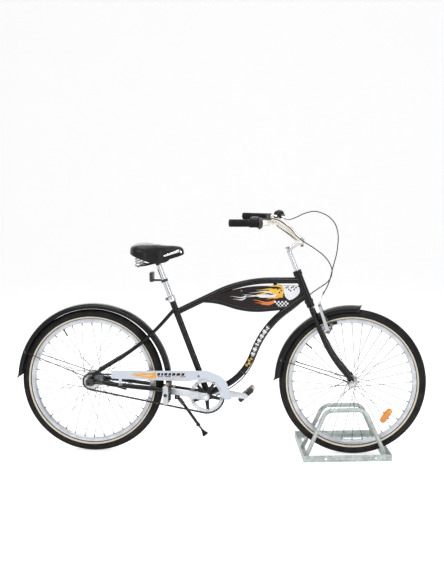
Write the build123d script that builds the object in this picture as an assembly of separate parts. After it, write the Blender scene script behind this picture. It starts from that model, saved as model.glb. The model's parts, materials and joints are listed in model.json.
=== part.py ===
from build123d import *
import os
from math import acos, atan2, cos, degrees, hypot, radians, sin, tan

# Cruiser bicycle standing in a one-wheel floor rack. Millimetres.
# While it is laid out, X runs forward from the rear axle, Y to the rider's left and Z up from the floor.
# At the end everything is shifted along X so that the origin is under the middle of the whole object.

# Driving sizes of the wheels
wheel_radius = 330.0
tyre_width = 50.0
tyre_flats = 12
rim_outer_radius = 287.0
rim_depth = 19.0
rim_width = 31.0
spoke_radius = 1.0
spoke_count = 36
spoke_crossing = 60.0
wheelbase = 1190.0

# Hubs and axles
axle_radius = 5.0
nut_radius = 9.0
nut_height = 8.0
front_flange_radius = 23.0
rear_flange_radius = 42.0
flange_thickness = 2.5
front_flange_y = 29.0
rear_flange_y = 27.0
front_shell_radius = 14.0
rear_shell_radius = 31.0
front_gap_half = 50.0
rear_gap_half = 60.0
dropout_thickness = 5.0

# Clearances
weld_gap = 0.15
fit_gap = 0.3
turn_gap = 0.2
run_share = 0.998

# Steering
steer_tilt = 21.4
fork_rake = 46.0
head_low_z = 700.0
head_high_z = 815.0
head_radius = 17.0
steerer_radius = 12.7
quill_radius = 11.1
blade_radius = 10.5
blade_half = 51.0
cup_height = 9.0
cup_radius = 20.0
top_nut_height = 12.0

# Frame tubes
top_tube_radius = 14.3
down_tube_radius = 14.3
seat_tube_radius = 14.3
tank_tube_radius = 11.0
seat_stay_radius = 8.0
chain_stay_radius = 9.0
bracket_x = 533.0
bracket_z = 270.0
bracket_radius = 20.0
bracket_half = 34.0
seat_tube_top = (368.0, 720.0)
top_tube_z = 790.0
top_bend_x = wheelbase - 494.0
top_bend_radius = 580.0
top_tube_end_z = 646.0
down_tube_start = (wheelbase - 194.0, 730.0)
down_bend_high = (wheelbase - 393.0, 587.0)
down_bend_high_radius = 428.0
down_bend_low = (bracket_x + 164.0, 349.0)
down_bend_low_radius = 264.0
tank_tube_start = (505.0, 701.0)
tank_bend_high = (585.0, 697.0)
tank_bend_low = (wheelbase - 470.0, 651.0)
tank_tube_end = (wheelbase - 295.0, 668.0)
tank_bend_high_radius = 330.0
tank_bend_low_radius = 376.0
stay_start = (392.0, 666.0)
stay_bend = (246.0, 504.0)
stay_bend_radius = 900.0

# Seat
post_radius = 12.7
post_top_z = 862.0
saddle_rear_x = 194.0
saddle_nose_x = 433.0
saddle_top_z = 963.0
saddle_low_z = 874.0
saddle_half_width = 112.0
nose_half_width = 24.0
saddle_wall = 10.0
rail_radius = 3.5
spring_length = 46.0

# Stem and handlebar
stem_bend_z = 930.0
stem_bend_radius = 26.0
clamp_half = 21.0
clamp_wall = 6.0
bar_radius = 11.1
bar_clamp = (wheelbase - 228.0, 968.0)
bar_clamp_half = 39.0
bar_rise_z = 1062.0
bar_bend_x = wheelbase - 332.0
bar_bend_y = 215.0
bar_turn_x = wheelbase - 354.0
bar_turn_y = 295.0
bar_end_x = wheelbase - 513.0
bar_end_y = 349.0
grip_radius = 16.0
grip_length = 86.0
long_grip_length = 124.0

# Crank, pedals and chain
crank_length = 169.0
crank_angle = 170.5
chain_y = -46.0
chain_pitch = 12.7
ring_teeth = 40
sprocket_teeth = 18
chain_half_height = 4.3
chain_half_width = 3.6
arm_y = 77.0
arm_thickness = 12.0
pedal_length = 84.0
pedal_width = 94.0
pedal_thickness = 26.0
pedal_gap = 14.0
spindle_radius = 5.0

# Chain guard
guard_y = -65.0
guard_thickness = 1.6

# Fenders
fender_thickness = 1.5
fender_half_width = 31.0
front_fender_radius = wheel_radius + 18.0
front_fender_centre = (wheelbase - 4.0, wheel_radius)
front_fender_depth = 26.0
rear_fender_radius = wheel_radius + 31.0
rear_fender_centre = (8.0, wheel_radius - 2.0)
rear_fender_depth = 22.0
fender_stay_radius = 2.0

# Kickstand
stand_pivot = (388.0, 34.0, 247.0)
stand_knee = (424.0, 44.0, 196.0)
stand_foot = (512.0, 64.0, 62.0)
stand_radius = 7.0
stand_rod_radius = 4.5
stand_rod_length = 52.0
stand_foot_radius = 15.0
stand_foot_length = 27.0
stand_pin_radius = 4.0

# Rack
rack_centre = (wheelbase - 30.0, 0.0)
rack_turn = 7.0
rack_rear_u = -205.0
rack_front_u = 186.0
rack_near_v = -154.0
rack_far_v = 312.0
angle_height = 30.0
angle_width = 30.0
angle_thickness = 3.0
hoop_radius = 9.5
hoop_top_z = 210.0
hoop_foot_v = 88.0
hoop_top_v = 58.0
rack_hole_radius = 5.0
rack_hole_spacing = 222.0

axle_z = wheel_radius
ring_pitch_radius = chain_pitch / 2 / sin(radians(180 / ring_teeth))
sprocket_pitch_radius = chain_pitch / 2 / sin(radians(180 / sprocket_teeth))
parts = {}


def mirrored(shape):
    return mirror(shape, about=Plane.XZ)


def fitted(points, radii, closed=False):
    # Corner radii, made smaller where two corners would need more than the straight run between them.
    corners = [Vector(*p) for p in points]
    count = len(corners)
    turned_corners = range(count) if closed else range(1, count - 1)
    need = [0.0] * count
    for i, radius in zip(turned_corners, radii):
        turn = radians((corners[i] - corners[i - 1]).get_angle(corners[(i + 1) % count] - corners[i]))
        need[i] = radius * tan(turn / 2)
    share = [1.0] * count
    for i in range(count if closed else count - 1):
        after = (i + 1) % count
        fit = run_share * (corners[after] - corners[i]).length / max(need[i] + need[after], 1e-6)
        share[i], share[after] = min(share[i], fit), min(share[after], fit)
    return [radius * share[i] for i, radius in zip(turned_corners, radii)]


def path_of(points, bends):
    if len(points) == 2:
        return Line(*points)
    radii = bends if isinstance(bends, list) else [bends] * (len(points) - 2)
    return FilletPolyline(*points, radius=fitted(points, radii))


def outline(points, radii):
    return make_face(FilletPolyline(*points, radius=fitted(points, radii, closed=True), close=True))


def tube(points, bends, radius):
    path = path_of(points, bends)
    start = Plane(origin=path @ 0, z_dir=path % 0)
    return sweep(start * Circle(radius), path=path)


def rod(a, b, radius):
    start = Plane(origin=a, z_dir=Vector(*b) - Vector(*a))
    return extrude(start * Circle(radius), amount=(Vector(*b) - Vector(*a)).length)


def xyz(point):
    return (point.X, point.Y, point.Z)


def plate(sketch, y_low, y_high):
    face = Plane(origin=(0, y_high, 0), x_dir=(1, 0, 0), z_dir=(0, -1, 0)) * sketch
    return extrude(face, amount=y_high - y_low)


def link(a, b, radius_a, radius_b):
    # Two discs and the straight sides that touch both.
    way = atan2(b[1] - a[1], b[0] - a[0])
    side = acos((radius_a - radius_b) / hypot(b[0] - a[0], b[1] - a[1]))
    touches = ((a, radius_a, -side), (b, radius_b, -side), (b, radius_b, side), (a, radius_a, side))
    corners = [(c[0] + r * cos(way + turn), c[1] + r * sin(way + turn)) for c, r, turn in touches]
    return Polygon(*corners, align=None) + Pos(*a) * Circle(radius_a) + Pos(*b) * Circle(radius_b)


def drum(x, z, y_low, y_high, radius):
    return plate(Pos(x, z) * Circle(radius), y_low, y_high)


def about_axle(shape, x, z):
    # Local X and Y become world X and Z, and local Z becomes world -Y.
    return Pos(x, 0, z) * Rot(90, 0, 0) * shape


def turned(section, arc=360.0, start=0.0):
    return Rot(0, 0, start) * revolve(Plane.XZ * section, axis=Axis.Z, revolution_arc=arc)


def flat(points):
    return [(x, 0, z) for x, z in points]


def steer_point(height):
    x = wheelbase - fork_rake / cos(radians(steer_tilt)) + (axle_z - height) * tan(radians(steer_tilt))
    return (x, 0, height)


def on_seat_tube(height):
    share = (height - bracket_z) / (seat_tube_top[1] - bracket_z)
    return (bracket_x + (seat_tube_top[0] - bracket_x) * share, 0, height)


def offset_path(points, distance):
    # Moves a path in the XZ plane sideways, to its left as it runs, and keeps its corners mitred.
    moved = []
    last = len(points) - 1
    for i, (x, z) in enumerate(points):
        before = points[max(i - 1, 0)]
        after = points[min(i + 1, last)]
        first = atan2(z - before[1], x - before[0]) if i > 0 else atan2(after[1] - z, after[0] - x)
        second = atan2(after[1] - z, after[0] - x) if i < last else first
        middle = (first + second) / 2
        reach = distance / cos((second - first) / 2)
        moved.append((x - sin(middle) * reach, z + cos(middle) * reach))
    return moved


def line_meets_circle(a, b, centre, radius):
    # The first point from a towards b that lies on the circle.
    dx, dz = b[0] - a[0], b[1] - a[1]
    fx, fz = a[0] - centre[0], a[1] - centre[1]
    square, half_b, rest = dx * dx + dz * dz, fx * dx + fz * dz, fx * fx + fz * fz - radius * radius
    share = (-half_b - (half_b * half_b - square * rest) ** 0.5) / square
    return (a[0] + share * dx, a[1] + share * dz)


# Wheels: tyre, rim, spokes and hub, front and rear
def tyre():
    # A round section in flats, one of them on the tread, cut off at the rim.
    half = tyre_width / 2
    band = Pos(wheel_radius, 0) * Rectangle(2 * (wheel_radius - rim_outer_radius - fit_gap), tyre_width)
    round_part = RegularPolygon(half, tyre_flats, major_radius=False, rotation=180 / tyre_flats)
    return turned((Pos(wheel_radius - half, 0) * round_part) & band)


def rim():
    inner = rim_outer_radius - rim_depth
    half = rim_width / 2
    section = Polygon(
        (rim_outer_radius, half),
        (rim_outer_radius - 5, half),
        (inner + 4, half - 2),
        (inner, half - 7),
        (inner, 7 - half),
        (inner + 4, 2 - half),
        (rim_outer_radius - 5, -half),
        (rim_outer_radius, -half),
        align=None,
    )
    return turned(section)


def spokes(flange_radius, flange_y):
    hole_circle = flange_radius - 4
    rim_radius = rim_outer_radius - rim_depth - 0.5
    over = flange_thickness / 2 + spoke_radius
    solids = []
    for i in range(spoke_count):
        side = 1 if i % 2 == 0 else -1
        leading = (i // 2) % 2 == 0
        rim_angle = radians(i * 360 / spoke_count)
        hub_angle = rim_angle + radians(-spoke_crossing if leading else spoke_crossing)
        lift = over + 2.2 if leading else -over - 0.3
        low = (hole_circle * cos(hub_angle), hole_circle * sin(hub_angle), side * (flange_y + lift))
        high = (rim_radius * cos(rim_angle), rim_radius * sin(rim_angle), side * 3)
        solids.append(rod(low, high, spoke_radius))
    return Compound(children=solids)


def hub_shell(flange_radius, flange_y, shell_radius, end_y, bore):
    half = flange_thickness / 2
    neck = shell_radius * 0.8
    section = Polygon(
        (bore, -end_y),
        (neck, -end_y),
        (neck, -flange_y - half),
        (flange_radius, -flange_y - half),
        (flange_radius, -flange_y + half),
        (shell_radius, -flange_y + half),
        (shell_radius, flange_y - half),
        (flange_radius, flange_y - half),
        (flange_radius, flange_y + half),
        (neck, flange_y + half),
        (neck, end_y),
        (bore, end_y),
        align=None,
    )
    return turned(section)


hub_bore = axle_radius + turn_gap
for name, x in (("front", wheelbase), ("rear", 0.0)):
    front = name == "front"
    flange_radius = front_flange_radius if front else rear_flange_radius
    flange_y = front_flange_y if front else rear_flange_y
    shell_radius = front_shell_radius if front else rear_shell_radius
    parts[name + "_tyre"] = about_axle(tyre(), x, axle_z)
    parts[name + "_rim"] = about_axle(rim(), x, axle_z)
    parts[name + "_spokes"] = about_axle(spokes(flange_radius, flange_y), x, axle_z)
    parts[name + "_hub"] = about_axle(
        hub_shell(flange_radius, flange_y, shell_radius, flange_y + 9, hub_bore), x, axle_z
    )

# Reflector on the front wheel, clipped between spokes
reflector_angle = radians(-45.0)
reflector_radius = 215.0
reflector_x = wheelbase + reflector_radius * cos(reflector_angle)
reflector_z = axle_z + reflector_radius * sin(reflector_angle)
reflector_face = Pos(reflector_x, reflector_z) * Rot(0, 0, 55) * SlotOverall(76, 30)
parts["wheel_reflector"] = plate(reflector_face, -17.6, -12.6)


# Axles with their cones and nuts
def axle(x, gap_half, cone_low):
    nut_low = gap_half + dropout_thickness + turn_gap
    length = nut_low + nut_height + 6
    solid = drum(x, axle_z, -length, length, axle_radius)
    for side in (-1, 1):
        cone = sorted((side * cone_low, side * (gap_half - turn_gap)))
        nut = sorted((side * nut_low, side * (nut_low + nut_height)))
        solid += drum(x, axle_z, cone[0], cone[1], nut_radius)
        solid += plate(Pos(x, axle_z) * RegularPolygon(nut_radius, 6), nut[0], nut[1])
    return solid


parts["front_axle"] = axle(wheelbase, front_gap_half, front_flange_y + 9 + fit_gap)
parts["rear_axle"] = axle(0.0, rear_gap_half, 50.0)

# Head tube, headset and steerer on the steering axis
head_low = steer_point(head_low_z)
head_high = steer_point(head_high_z)
steerer_low = steer_point(head_low_z - 30)
cup_rise = cup_height * cos(radians(steer_tilt))
nut_low = steer_point(head_high_z + cup_rise + fit_gap)
nut_high = steer_point(head_high_z + cup_rise + fit_gap + top_nut_height * cos(radians(steer_tilt)))
cup_low = steer_point(head_low_z - cup_rise)
cup_high = steer_point(head_high_z + cup_rise)
head_bore = rod(steer_point(head_low_z - 40), steer_point(head_high_z + 40), steerer_radius + fit_gap)
head_solid = rod(head_low, head_high, head_radius) + rod(cup_low, head_low, cup_radius)
head_solid += rod(head_high, cup_high, cup_radius)
parts["head_tube"] = head_solid - head_bore

# Fork: hollow steerer, crown and two curved blades with dropouts
blade_bend = (wheelbase - 95.0, 449.0)
front_eyelet = (wheelbase - 19.0, axle_z + 9.0)
blade_end = (wheelbase - 5.0, axle_z + 19.0)


def blade():
    crown = steer_point(head_low_z - 26)
    shoulder = steer_point(head_low_z - 38)
    points = [
        (crown[0], -4, crown[2]),
        (shoulder[0], -blade_half, shoulder[2]),
        (blade_bend[0], -blade_half, blade_bend[1]),
        (blade_end[0], -blade_half - 1.5, blade_end[1]),
    ]
    tip = link((wheelbase, axle_z), (blade_end[0], blade_end[1] + 6), 13.0, 9.0)
    low = -front_gap_half - dropout_thickness
    axle_hole = drum(wheelbase, axle_z, low - 1, 1 - front_gap_half, axle_radius + turn_gap)
    drop = plate(tip, low, -front_gap_half) - axle_hole
    leg = tube(points, [26.0, 560.0], blade_radius)
    eyelet = plate(link((wheelbase, axle_z), front_eyelet, 13.0, 6.0), low, -front_gap_half) - axle_hole
    return leg + drop + eyelet


steerer = rod(steerer_low, nut_low, steerer_radius)
race = rod(steerer_low, steer_point(head_low_z - cup_rise - fit_gap), cup_radius - 2)
right_blade = blade()
fork_solid = steerer + race + right_blade + mirrored(right_blade)
quill_bore = rod(steer_point(head_low_z + 20), steer_point(head_high_z + 60), quill_radius + turn_gap)
parts["fork"] = fork_solid - quill_bore
parts["headset_nut"] = rod(nut_low, nut_high, cup_radius) - quill_bore

# Stem and handlebar
stem_points = [steer_point(head_low_z + 30), steer_point(stem_bend_z), (bar_clamp[0], 0, bar_clamp[1])]
stem_tube = tube(stem_points, stem_bend_radius, quill_radius)
clamp_ring = drum(bar_clamp[0], bar_clamp[1], -clamp_half, clamp_half, bar_radius + clamp_wall)
clamp_lug = plate(Pos(bar_clamp[0] + 6, bar_clamp[1] - 18) * Rectangle(14, 16), -10.0, 10.0)
stem_solid = stem_tube + clamp_ring + clamp_lug
parts["stem"] = stem_solid - drum(
    bar_clamp[0], bar_clamp[1], -clamp_half - 1, clamp_half + 1, bar_radius + weld_gap
)

bar_half = [
    (bar_clamp[0], -bar_clamp_half, bar_clamp[1]),
    (bar_bend_x, -bar_bend_y, bar_rise_z),
    (bar_turn_x, -bar_turn_y, bar_rise_z + 1),
    (bar_end_x, -bar_end_y, bar_rise_z + 5),
]
bar_points = bar_half[::-1] + [(x, -y, z) for x, y, z in bar_half]
bar_bends = [45.0, 80.0, 50.0, 50.0, 80.0, 45.0]
parts["handlebar"] = tube(bar_points, bar_bends, bar_radius)

# Grips run along the last straight of each bar end
end_point = Vector(*bar_half[3])
end_way = (end_point - Vector(*bar_half[2])).normalized()


def along_grip(distance):
    # A point on the bar's axis at a distance from its right end, towards the middle.
    return xyz(end_point - end_way * distance)


def sleeve(near, far, radius):
    return rod(along_grip(near), along_grip(far), radius) - rod(
        along_grip(near - 1), along_grip(far + 1), bar_radius + weld_gap
    )


grip_cap = 3.0


def grip(length):
    whole = rod(along_grip(-grip_cap), along_grip(length), grip_radius)
    return whole - rod(along_grip(-weld_gap), along_grip(length + 1), bar_radius + weld_gap)


parts["grip_right"] = grip(grip_length)
parts["grip_left"] = mirrored(grip(long_grip_length))

# Twist shifter inboard of the right grip, brake lever and bell on the left
shift_start = grip_length + fit_gap
shifter = sleeve(shift_start, shift_start + 34, 19.0) + sleeve(shift_start + 34, shift_start + 52, 23.0)
window = Vector(*along_grip(shift_start + 22)) + Vector(0, 0, 20)
window_box = Plane(origin=window, x_dir=end_way, z_dir=(0, 0, 1)) * Box(40, 22, 12)
window_box = window_box - rod(along_grip(shift_start - 1), along_grip(shift_start + 53), 18.0)
parts["twist_shifter"] = shifter + window_box

lever_start = long_grip_length + fit_gap
lever_ring = sleeve(lever_start, lever_start + 18, 17.0)
lever_root = Vector(*along_grip(lever_start + 9))
across = Vector(0, 0, 1).cross(end_way).normalized()
if across.X < 0:
    across = across * -1
lever_points = [
    lever_root + across * 14 - Vector(0, 0, 6),
    lever_root + across * 38 - Vector(0, 0, 10) - end_way * 4,
    lever_root + across * 42 - Vector(0, 0, 14) + end_way * 56,
    lever_root + across * 34 - Vector(0, 0, 16) + end_way * 104,
]
lever_blade = tube([xyz(p) for p in lever_points], [14.0, 90.0], 5.0)
adjuster_root = lever_root + across * 17 - Vector(0, 0, 6)
adjuster = rod(xyz(adjuster_root), xyz(adjuster_root - end_way * 24), 4.0)
parts["brake_lever"] = mirrored(lever_ring + lever_blade + adjuster)

bell_root = Vector(*bar_half[1]) + Vector(0, 6, 0)
bell_section = Polygon((0, 14), (24, 12), (25, 16), (22, 27), (12, 34), (0, 36), align=None)
bell_dome = revolve(Plane.XZ * bell_section, axis=Axis.Z)
bell_base = Pos(0, 0, 10) * Cylinder(9, 10)
bell_solid = Pos(bell_root.X - 4, -bell_root.Y + 14, bar_rise_z + 2) * (bell_dome + bell_base)
parts["bell"] = bell_solid - tube(bar_points, bar_bends, bar_radius + weld_gap)

# Frame tubes. Each is cut to the tube it is joined to.
head_cut = rod(cup_low, cup_high, head_radius + weld_gap)
seat_axis_low = on_seat_tube(bracket_z)
seat_axis_high = on_seat_tube(seat_tube_top[1])
seat_cut = rod(seat_axis_low, seat_axis_high, seat_tube_radius + weld_gap)
bracket_cut = drum(bracket_x, bracket_z, -bracket_half - 20, bracket_half + 20, bracket_radius + weld_gap)

parts["bottom_bracket"] = drum(bracket_x, bracket_z, -bracket_half, bracket_half, bracket_radius) - drum(
    bracket_x, bracket_z, -bracket_half - 1, bracket_half + 1, 9.0
)
post_bore = rod(on_seat_tube(bracket_z + 120), on_seat_tube(seat_tube_top[1] + 20), post_radius + turn_gap)
parts["seat_tube"] = rod(seat_axis_low, seat_axis_high, seat_tube_radius) - bracket_cut - post_bore

top_start = steer_point(top_tube_z)
top_end = on_seat_tube(top_tube_end_z)
top_path = [(top_start[0], top_start[2]), (top_bend_x, top_tube_z), (top_end[0], top_end[2])]
parts["top_tube"] = tube(flat(top_path), top_bend_radius, top_tube_radius) - head_cut - seat_cut
top_cut = tube(flat(top_path), top_bend_radius, top_tube_radius + weld_gap)

down_path = [down_tube_start, down_bend_high, down_bend_low, (bracket_x, bracket_z)]
down_bends = [down_bend_high_radius, down_bend_low_radius]
down_solid = tube(flat(down_path), down_bends, down_tube_radius) - head_cut - bracket_cut - seat_cut
parts["down_tube"] = down_solid.solids().sort_by(SortBy.VOLUME)[-1]
down_cut = tube(flat(down_path), down_bends, down_tube_radius + weld_gap)

tank_path = [tank_tube_start, tank_bend_high, tank_bend_low, tank_tube_end]
tank_bends = [tank_bend_high_radius, tank_bend_low_radius]
tank_solid = tube(flat(tank_path), tank_bends, tank_tube_radius) - top_cut - down_cut
parts["tank_tube"] = tank_solid.solids().sort_by(SortBy.VOLUME)[-1]
tank_cut = tube(flat(tank_path), tank_bends, tank_tube_radius + fit_gap)

# Tank panel between the tubes, standing off the top tube on two tabs
panel_gap = 10.0
panel_half = 9.0
panel_top = top_tube_z - top_tube_radius - panel_gap
panel_sketch = outline(
    [
        (wheelbase - 238, panel_top),
        (top_bend_x, panel_top),
        (tank_tube_start[0] + 29, tank_tube_start[1] + 5),
        (tank_bend_high[0] + 15, tank_bend_high[1] - 7),
        (tank_bend_low[0] + 2, tank_bend_low[1] - 3),
        (tank_tube_end[0] - 3, tank_tube_end[1] - 4),
        (wheelbase - 230, 716.0),
        (wheelbase - 218, 734.0),
    ],
    [4.0, 540.0, 3.0, 60.0, 150.0, 8.0, 20.0, 4.0],
)
panel_solid = plate(panel_sketch, -panel_half, panel_half)
for x in (top_bend_x - 56, top_bend_x + 150):
    panel_solid += plate(Pos(x, panel_top) * Rectangle(16, 60), -2.0, 2.0) & plate(
        Pos(x, panel_top - 6) * Rectangle(16, 60), -2.0, 2.0
    )
panel_solid = panel_solid - tank_cut - top_cut - head_cut
panel_solid = panel_solid - tube(flat(down_path), down_bends, down_tube_radius + fit_gap)
parts["tank_panel"] = panel_solid.solids().sort_by(SortBy.VOLUME)[-1]

# Rear triangle
dropout_low = -rear_gap_half - dropout_thickness
dropout_face = link((0.0, axle_z), (34.0, axle_z + 2), 14.0, 8.0)
dropout_face += link((2.0, axle_z + 6), (18.0, axle_z + 34), 9.0, 7.0)
dropout = plate(dropout_face, dropout_low, -rear_gap_half) - drum(
    0.0, axle_z, dropout_low - 1, 1 - rear_gap_half, axle_radius + turn_gap
)
dropout_cut = plate(dropout_face, dropout_low - weld_gap, weld_gap - rear_gap_half)
chain_stay_points = [
    (24.0, -rear_gap_half - dropout_thickness / 2, axle_z + 1),
    (300.0, -43.0, axle_z - 30),
    (430.0, -27.0, bracket_z + 14),
    (bracket_x, -22.0, bracket_z + 2),
]
chain_stay = tube(chain_stay_points, [700.0, 400.0], chain_stay_radius) - bracket_cut + dropout
chain_stay_bridge = rod((376.0, -34.0, 296.0), (376.0, 34.0, 296.0), 6.0)
chain_stays_solid = chain_stay + mirrored(chain_stay) + chain_stay_bridge
parts["chain_stays"] = chain_stays_solid - seat_cut

stay_points = [
    (stay_start[0], -19.5, stay_start[1]),
    (stay_bend[0], -49.0, stay_bend[1]),
    (18.0, -rear_gap_half - dropout_thickness / 2, axle_z + 38),
]
seat_stay = tube(stay_points, stay_bend_radius, seat_stay_radius) - seat_cut - top_cut - dropout_cut
bridge_radius = 6.0
fender_crown_drop = 0.8
bridge_reach = rear_fender_radius + bridge_radius - fender_crown_drop + fit_gap
bridge_x, bridge_z = line_meets_circle(stay_start, stay_bend, rear_fender_centre, bridge_reach)
stay_bridge = rod((bridge_x, -40.0, bridge_z), (bridge_x, 40.0, bridge_z), bridge_radius)
parts["seat_stays"] = seat_stay + mirrored(seat_stay) + stay_bridge

# Seat post, its clamp, the saddle and what carries it
post_high = on_seat_tube(post_top_z)
parts["seat_post"] = rod(on_seat_tube(bracket_z + 290), post_high, post_radius)
collar = rod(on_seat_tube(seat_tube_top[1] - 24), on_seat_tube(seat_tube_top[1] - 2), seat_tube_radius + 4)
collar_at = on_seat_tube(seat_tube_top[1] - 13)
collar += plate(Pos(collar_at[0] - 20, collar_at[2]) * Rectangle(14, 16), -9.0, 9.0)
parts["seat_clamp"] = collar - seat_cut

saddle_side = outline(
    [
        (saddle_rear_x, saddle_top_z - 44),
        (saddle_rear_x + 6, saddle_top_z - 3),
        (saddle_rear_x + 40, saddle_top_z),
        (saddle_rear_x + 110, saddle_top_z - 9),
        (saddle_nose_x - 16, saddle_top_z - 14),
        (saddle_nose_x, saddle_top_z - 34),
        (saddle_nose_x - 5, saddle_top_z - 54),
        (308.0, saddle_low_z),
        (saddle_rear_x + 60, saddle_low_z + 14),
    ],
    [6.0, 12.0, 20.0, 100.0, 12.0, 8.0, 6.0, 14.0, 20.0],
)
plan_points = [
    (saddle_rear_x, saddle_half_width * 0.62),
    (saddle_rear_x + 24, saddle_half_width),
    (saddle_rear_x + 74, saddle_half_width * 0.97),
    (saddle_rear_x + 136, nose_half_width + 14),
    (saddle_nose_x, nose_half_width * 0.8),
]
plan_points += [(x, -y) for x, y in reversed(plan_points)]
plan_radii = [22.0, 24.0, 26.0, 50.0, 14.0]
saddle_plan = outline(plan_points, plan_radii + plan_radii[::-1])
saddle_block = plate(saddle_side, -saddle_half_width - 5, saddle_half_width + 5) & (
    Pos(0, 0, saddle_low_z - 20) * extrude(saddle_plan, amount=130)
)
inner_plan = offset(saddle_plan, amount=-saddle_wall)
saddle_base_z = saddle_top_z - 28
saddle_hollow = Pos(0, 0, saddle_low_z - 20) * extrude(inner_plan, amount=saddle_base_z - saddle_low_z + 20)
parts["saddle"] = saddle_block - saddle_hollow

rail_top = saddle_base_z - rail_radius - fit_gap
rail = tube(
    [(240.0, -30.0, rail_top), (262.0, -26.0, saddle_low_z + 4), (352.0, -19.0, saddle_low_z + 4),
     (396.0, -6.0, rail_top - 3)],
    [14.0, 30.0],
    rail_radius,
)
spring_ribs = [Pos(0, 0, i * 8) * Cylinder(15, 5) for i in range(6)]
spring = Cylinder(11, spring_length, align=(Align.CENTER, Align.CENTER, Align.MIN)) + spring_ribs
spring_at = Pos(234.0, -60.0, saddle_base_z - spring_length - fit_gap)
rear_bar = rod((244.0, -62.0, rail_top - 42), (244.0, 62.0, rail_top - 42), 4.0)
post_clamp = rod((post_high[0], -30.0, post_high[2] + 10), (post_high[0], 30.0, post_high[2] + 10), 10.0)
post_clamp = post_clamp - rod(on_seat_tube(bracket_z + 290), post_high, post_radius + weld_gap)
brace = rod((244.0, -26.0, rail_top - 42), (300.0, -24.0, saddle_low_z + 2), rail_radius)
half_frame = rail + spring_at * spring + brace
parts["saddle_frame"] = half_frame + mirrored(half_frame) + rear_bar + post_clamp

# Red rear reflector on a bracket round the seat post
mark_z = 791.0
mark_collar = rod(on_seat_tube(mark_z - 6), on_seat_tube(mark_z + 6), post_radius + 3)
mark_arm = plate(Pos(310.0, mark_z + 2) * Rectangle(50, 9), -4.0, 4.0)
mark_bore = rod(on_seat_tube(mark_z - 90), on_seat_tube(post_top_z), post_radius + weld_gap)
mark_body = plate(Pos(284.0, mark_z + 17.5) * RectangleRounded(17, 43, 5), -23.0, 23.0)
parts["rear_reflector"] = (mark_collar + mark_arm) - mark_bore + mark_body


# Fenders: a thin arch turned about the wheel, and its stays
def arch(crown, edge, half, corner):
    shoulder = half * 0.86
    return FilletPolyline(
        (edge, half), (crown - 4, shoulder), (crown, 0), (crown - 4, -shoulder), (edge, -half),
        radius=[corner, 60.0, corner],
    )


def fender(radius, depth, centre, start, span):
    t = fender_thickness
    outer = arch(radius, radius - depth, fender_half_width, 9.0)
    inner = arch(radius - t, radius - depth, fender_half_width - t, 9.0 - t)
    ends = Line(outer @ 0, inner @ 0).edges() + Line(outer @ 1, inner @ 1).edges()
    section = make_face(outer.edges() + inner.edges() + ends)
    return about_axle(turned(section, span, start), *centre)


front_fender_start = 84.0
front_fender_span = 92.0
rear_fender_start = -3.5
rear_fender_span = 178.5
parts["front_fender"] = fender(
    front_fender_radius, front_fender_depth, front_fender_centre, front_fender_start, front_fender_span
)
parts["rear_fender"] = fender(
    rear_fender_radius, rear_fender_depth, rear_fender_centre, rear_fender_start, rear_fender_span
)


stay_foot_half = 2.5


def fender_stay(centre, radius, angle, end):
    a = radians(angle)
    # The fender's side leans in a little at the stay's height, and so does the stay's upper end.
    high_y = -fender_half_width - fender_stay_radius + 0.4
    high = (centre[0] + radius * cos(a), high_y, centre[1] + radius * sin(a))
    stay = rod(high, end, fender_stay_radius)
    foot = drum(end[0], end[2], end[1] - stay_foot_half, end[1] + stay_foot_half, 5.0)
    return stay + foot


front_foot_y = -front_gap_half - dropout_thickness - stay_foot_half - fit_gap
front_stay_end = (front_eyelet[0], front_foot_y, front_eyelet[1])
front_stay = fender_stay(
    front_fender_centre, front_fender_radius - front_fender_depth + 8, 162.0, front_stay_end
)
parts["front_fender_stays"] = Compound(children=[front_stay, mirrored(front_stay)])
rear_stay_end = (-6.0, -rear_gap_half - dropout_thickness - stay_foot_half - fit_gap, axle_z + 22)
rear_stay = fender_stay(
    rear_fender_centre, rear_fender_radius - rear_fender_depth + 8, 157.0, rear_stay_end
)
parts["rear_fender_stays"] = Compound(children=[rear_stay, mirrored(rear_stay)])

# Front brake: two arms beside the fender, pads at the rim and a bent guide pipe
brake_pivot = (wheelbase - 106.0, 562.0)
brake_top = (wheelbase - 146.0, 682.0)
pad_at = (wheelbase - 92.0, 596.0)
arm_face = link(brake_pivot, brake_top, 8.0, 5.5)
brake_arm = plate(arm_face, -47.0, -38.5)
boss_root = (brake_pivot[0] - 26, -47.0, brake_pivot[1] - 2)
brake_boss = rod(boss_root, (brake_pivot[0], -43.0, brake_pivot[1]), 5.0)
pad_way = atan2(pad_at[1] - axle_z, pad_at[0] - wheelbase)
pad_x = wheelbase + (rim_outer_radius - 7) * cos(pad_way)
pad_z = axle_z + (rim_outer_radius - 7) * sin(pad_way)
pad_face = Pos(pad_x, pad_z) * Rot(0, 0, degrees(pad_way) + 90) * SlotOverall(56, 11)
brake_pad = plate(pad_face, -rim_width / 2 - 12, -rim_width / 2 - 2)
pad_post = plate(link(brake_pivot, (pad_x, pad_z), 6.0, 5.0), -43.0, -rim_width / 2 - 12)
blade_high = (steer_point(head_low_z - 38)[0], -blade_half, head_low_z - 38)
blade_cut = rod(blade_high, (blade_bend[0], -blade_half, blade_bend[1]), blade_radius + weld_gap)
brake_side = (brake_arm + brake_boss + brake_pad + pad_post) - blade_cut
guide_pipe = tube(
    [
        (brake_top[0], -44.0, brake_top[1] + 2),
        (brake_top[0], 22.0, brake_top[1] + 4),
        (brake_top[0] + 14, 30.0, brake_top[1] + 36),
    ],
    14.0,
    2.6,
)
parts["brake_arm_right"] = brake_side + guide_pipe
parts["brake_arm_left"] = mirrored(brake_side)

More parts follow.
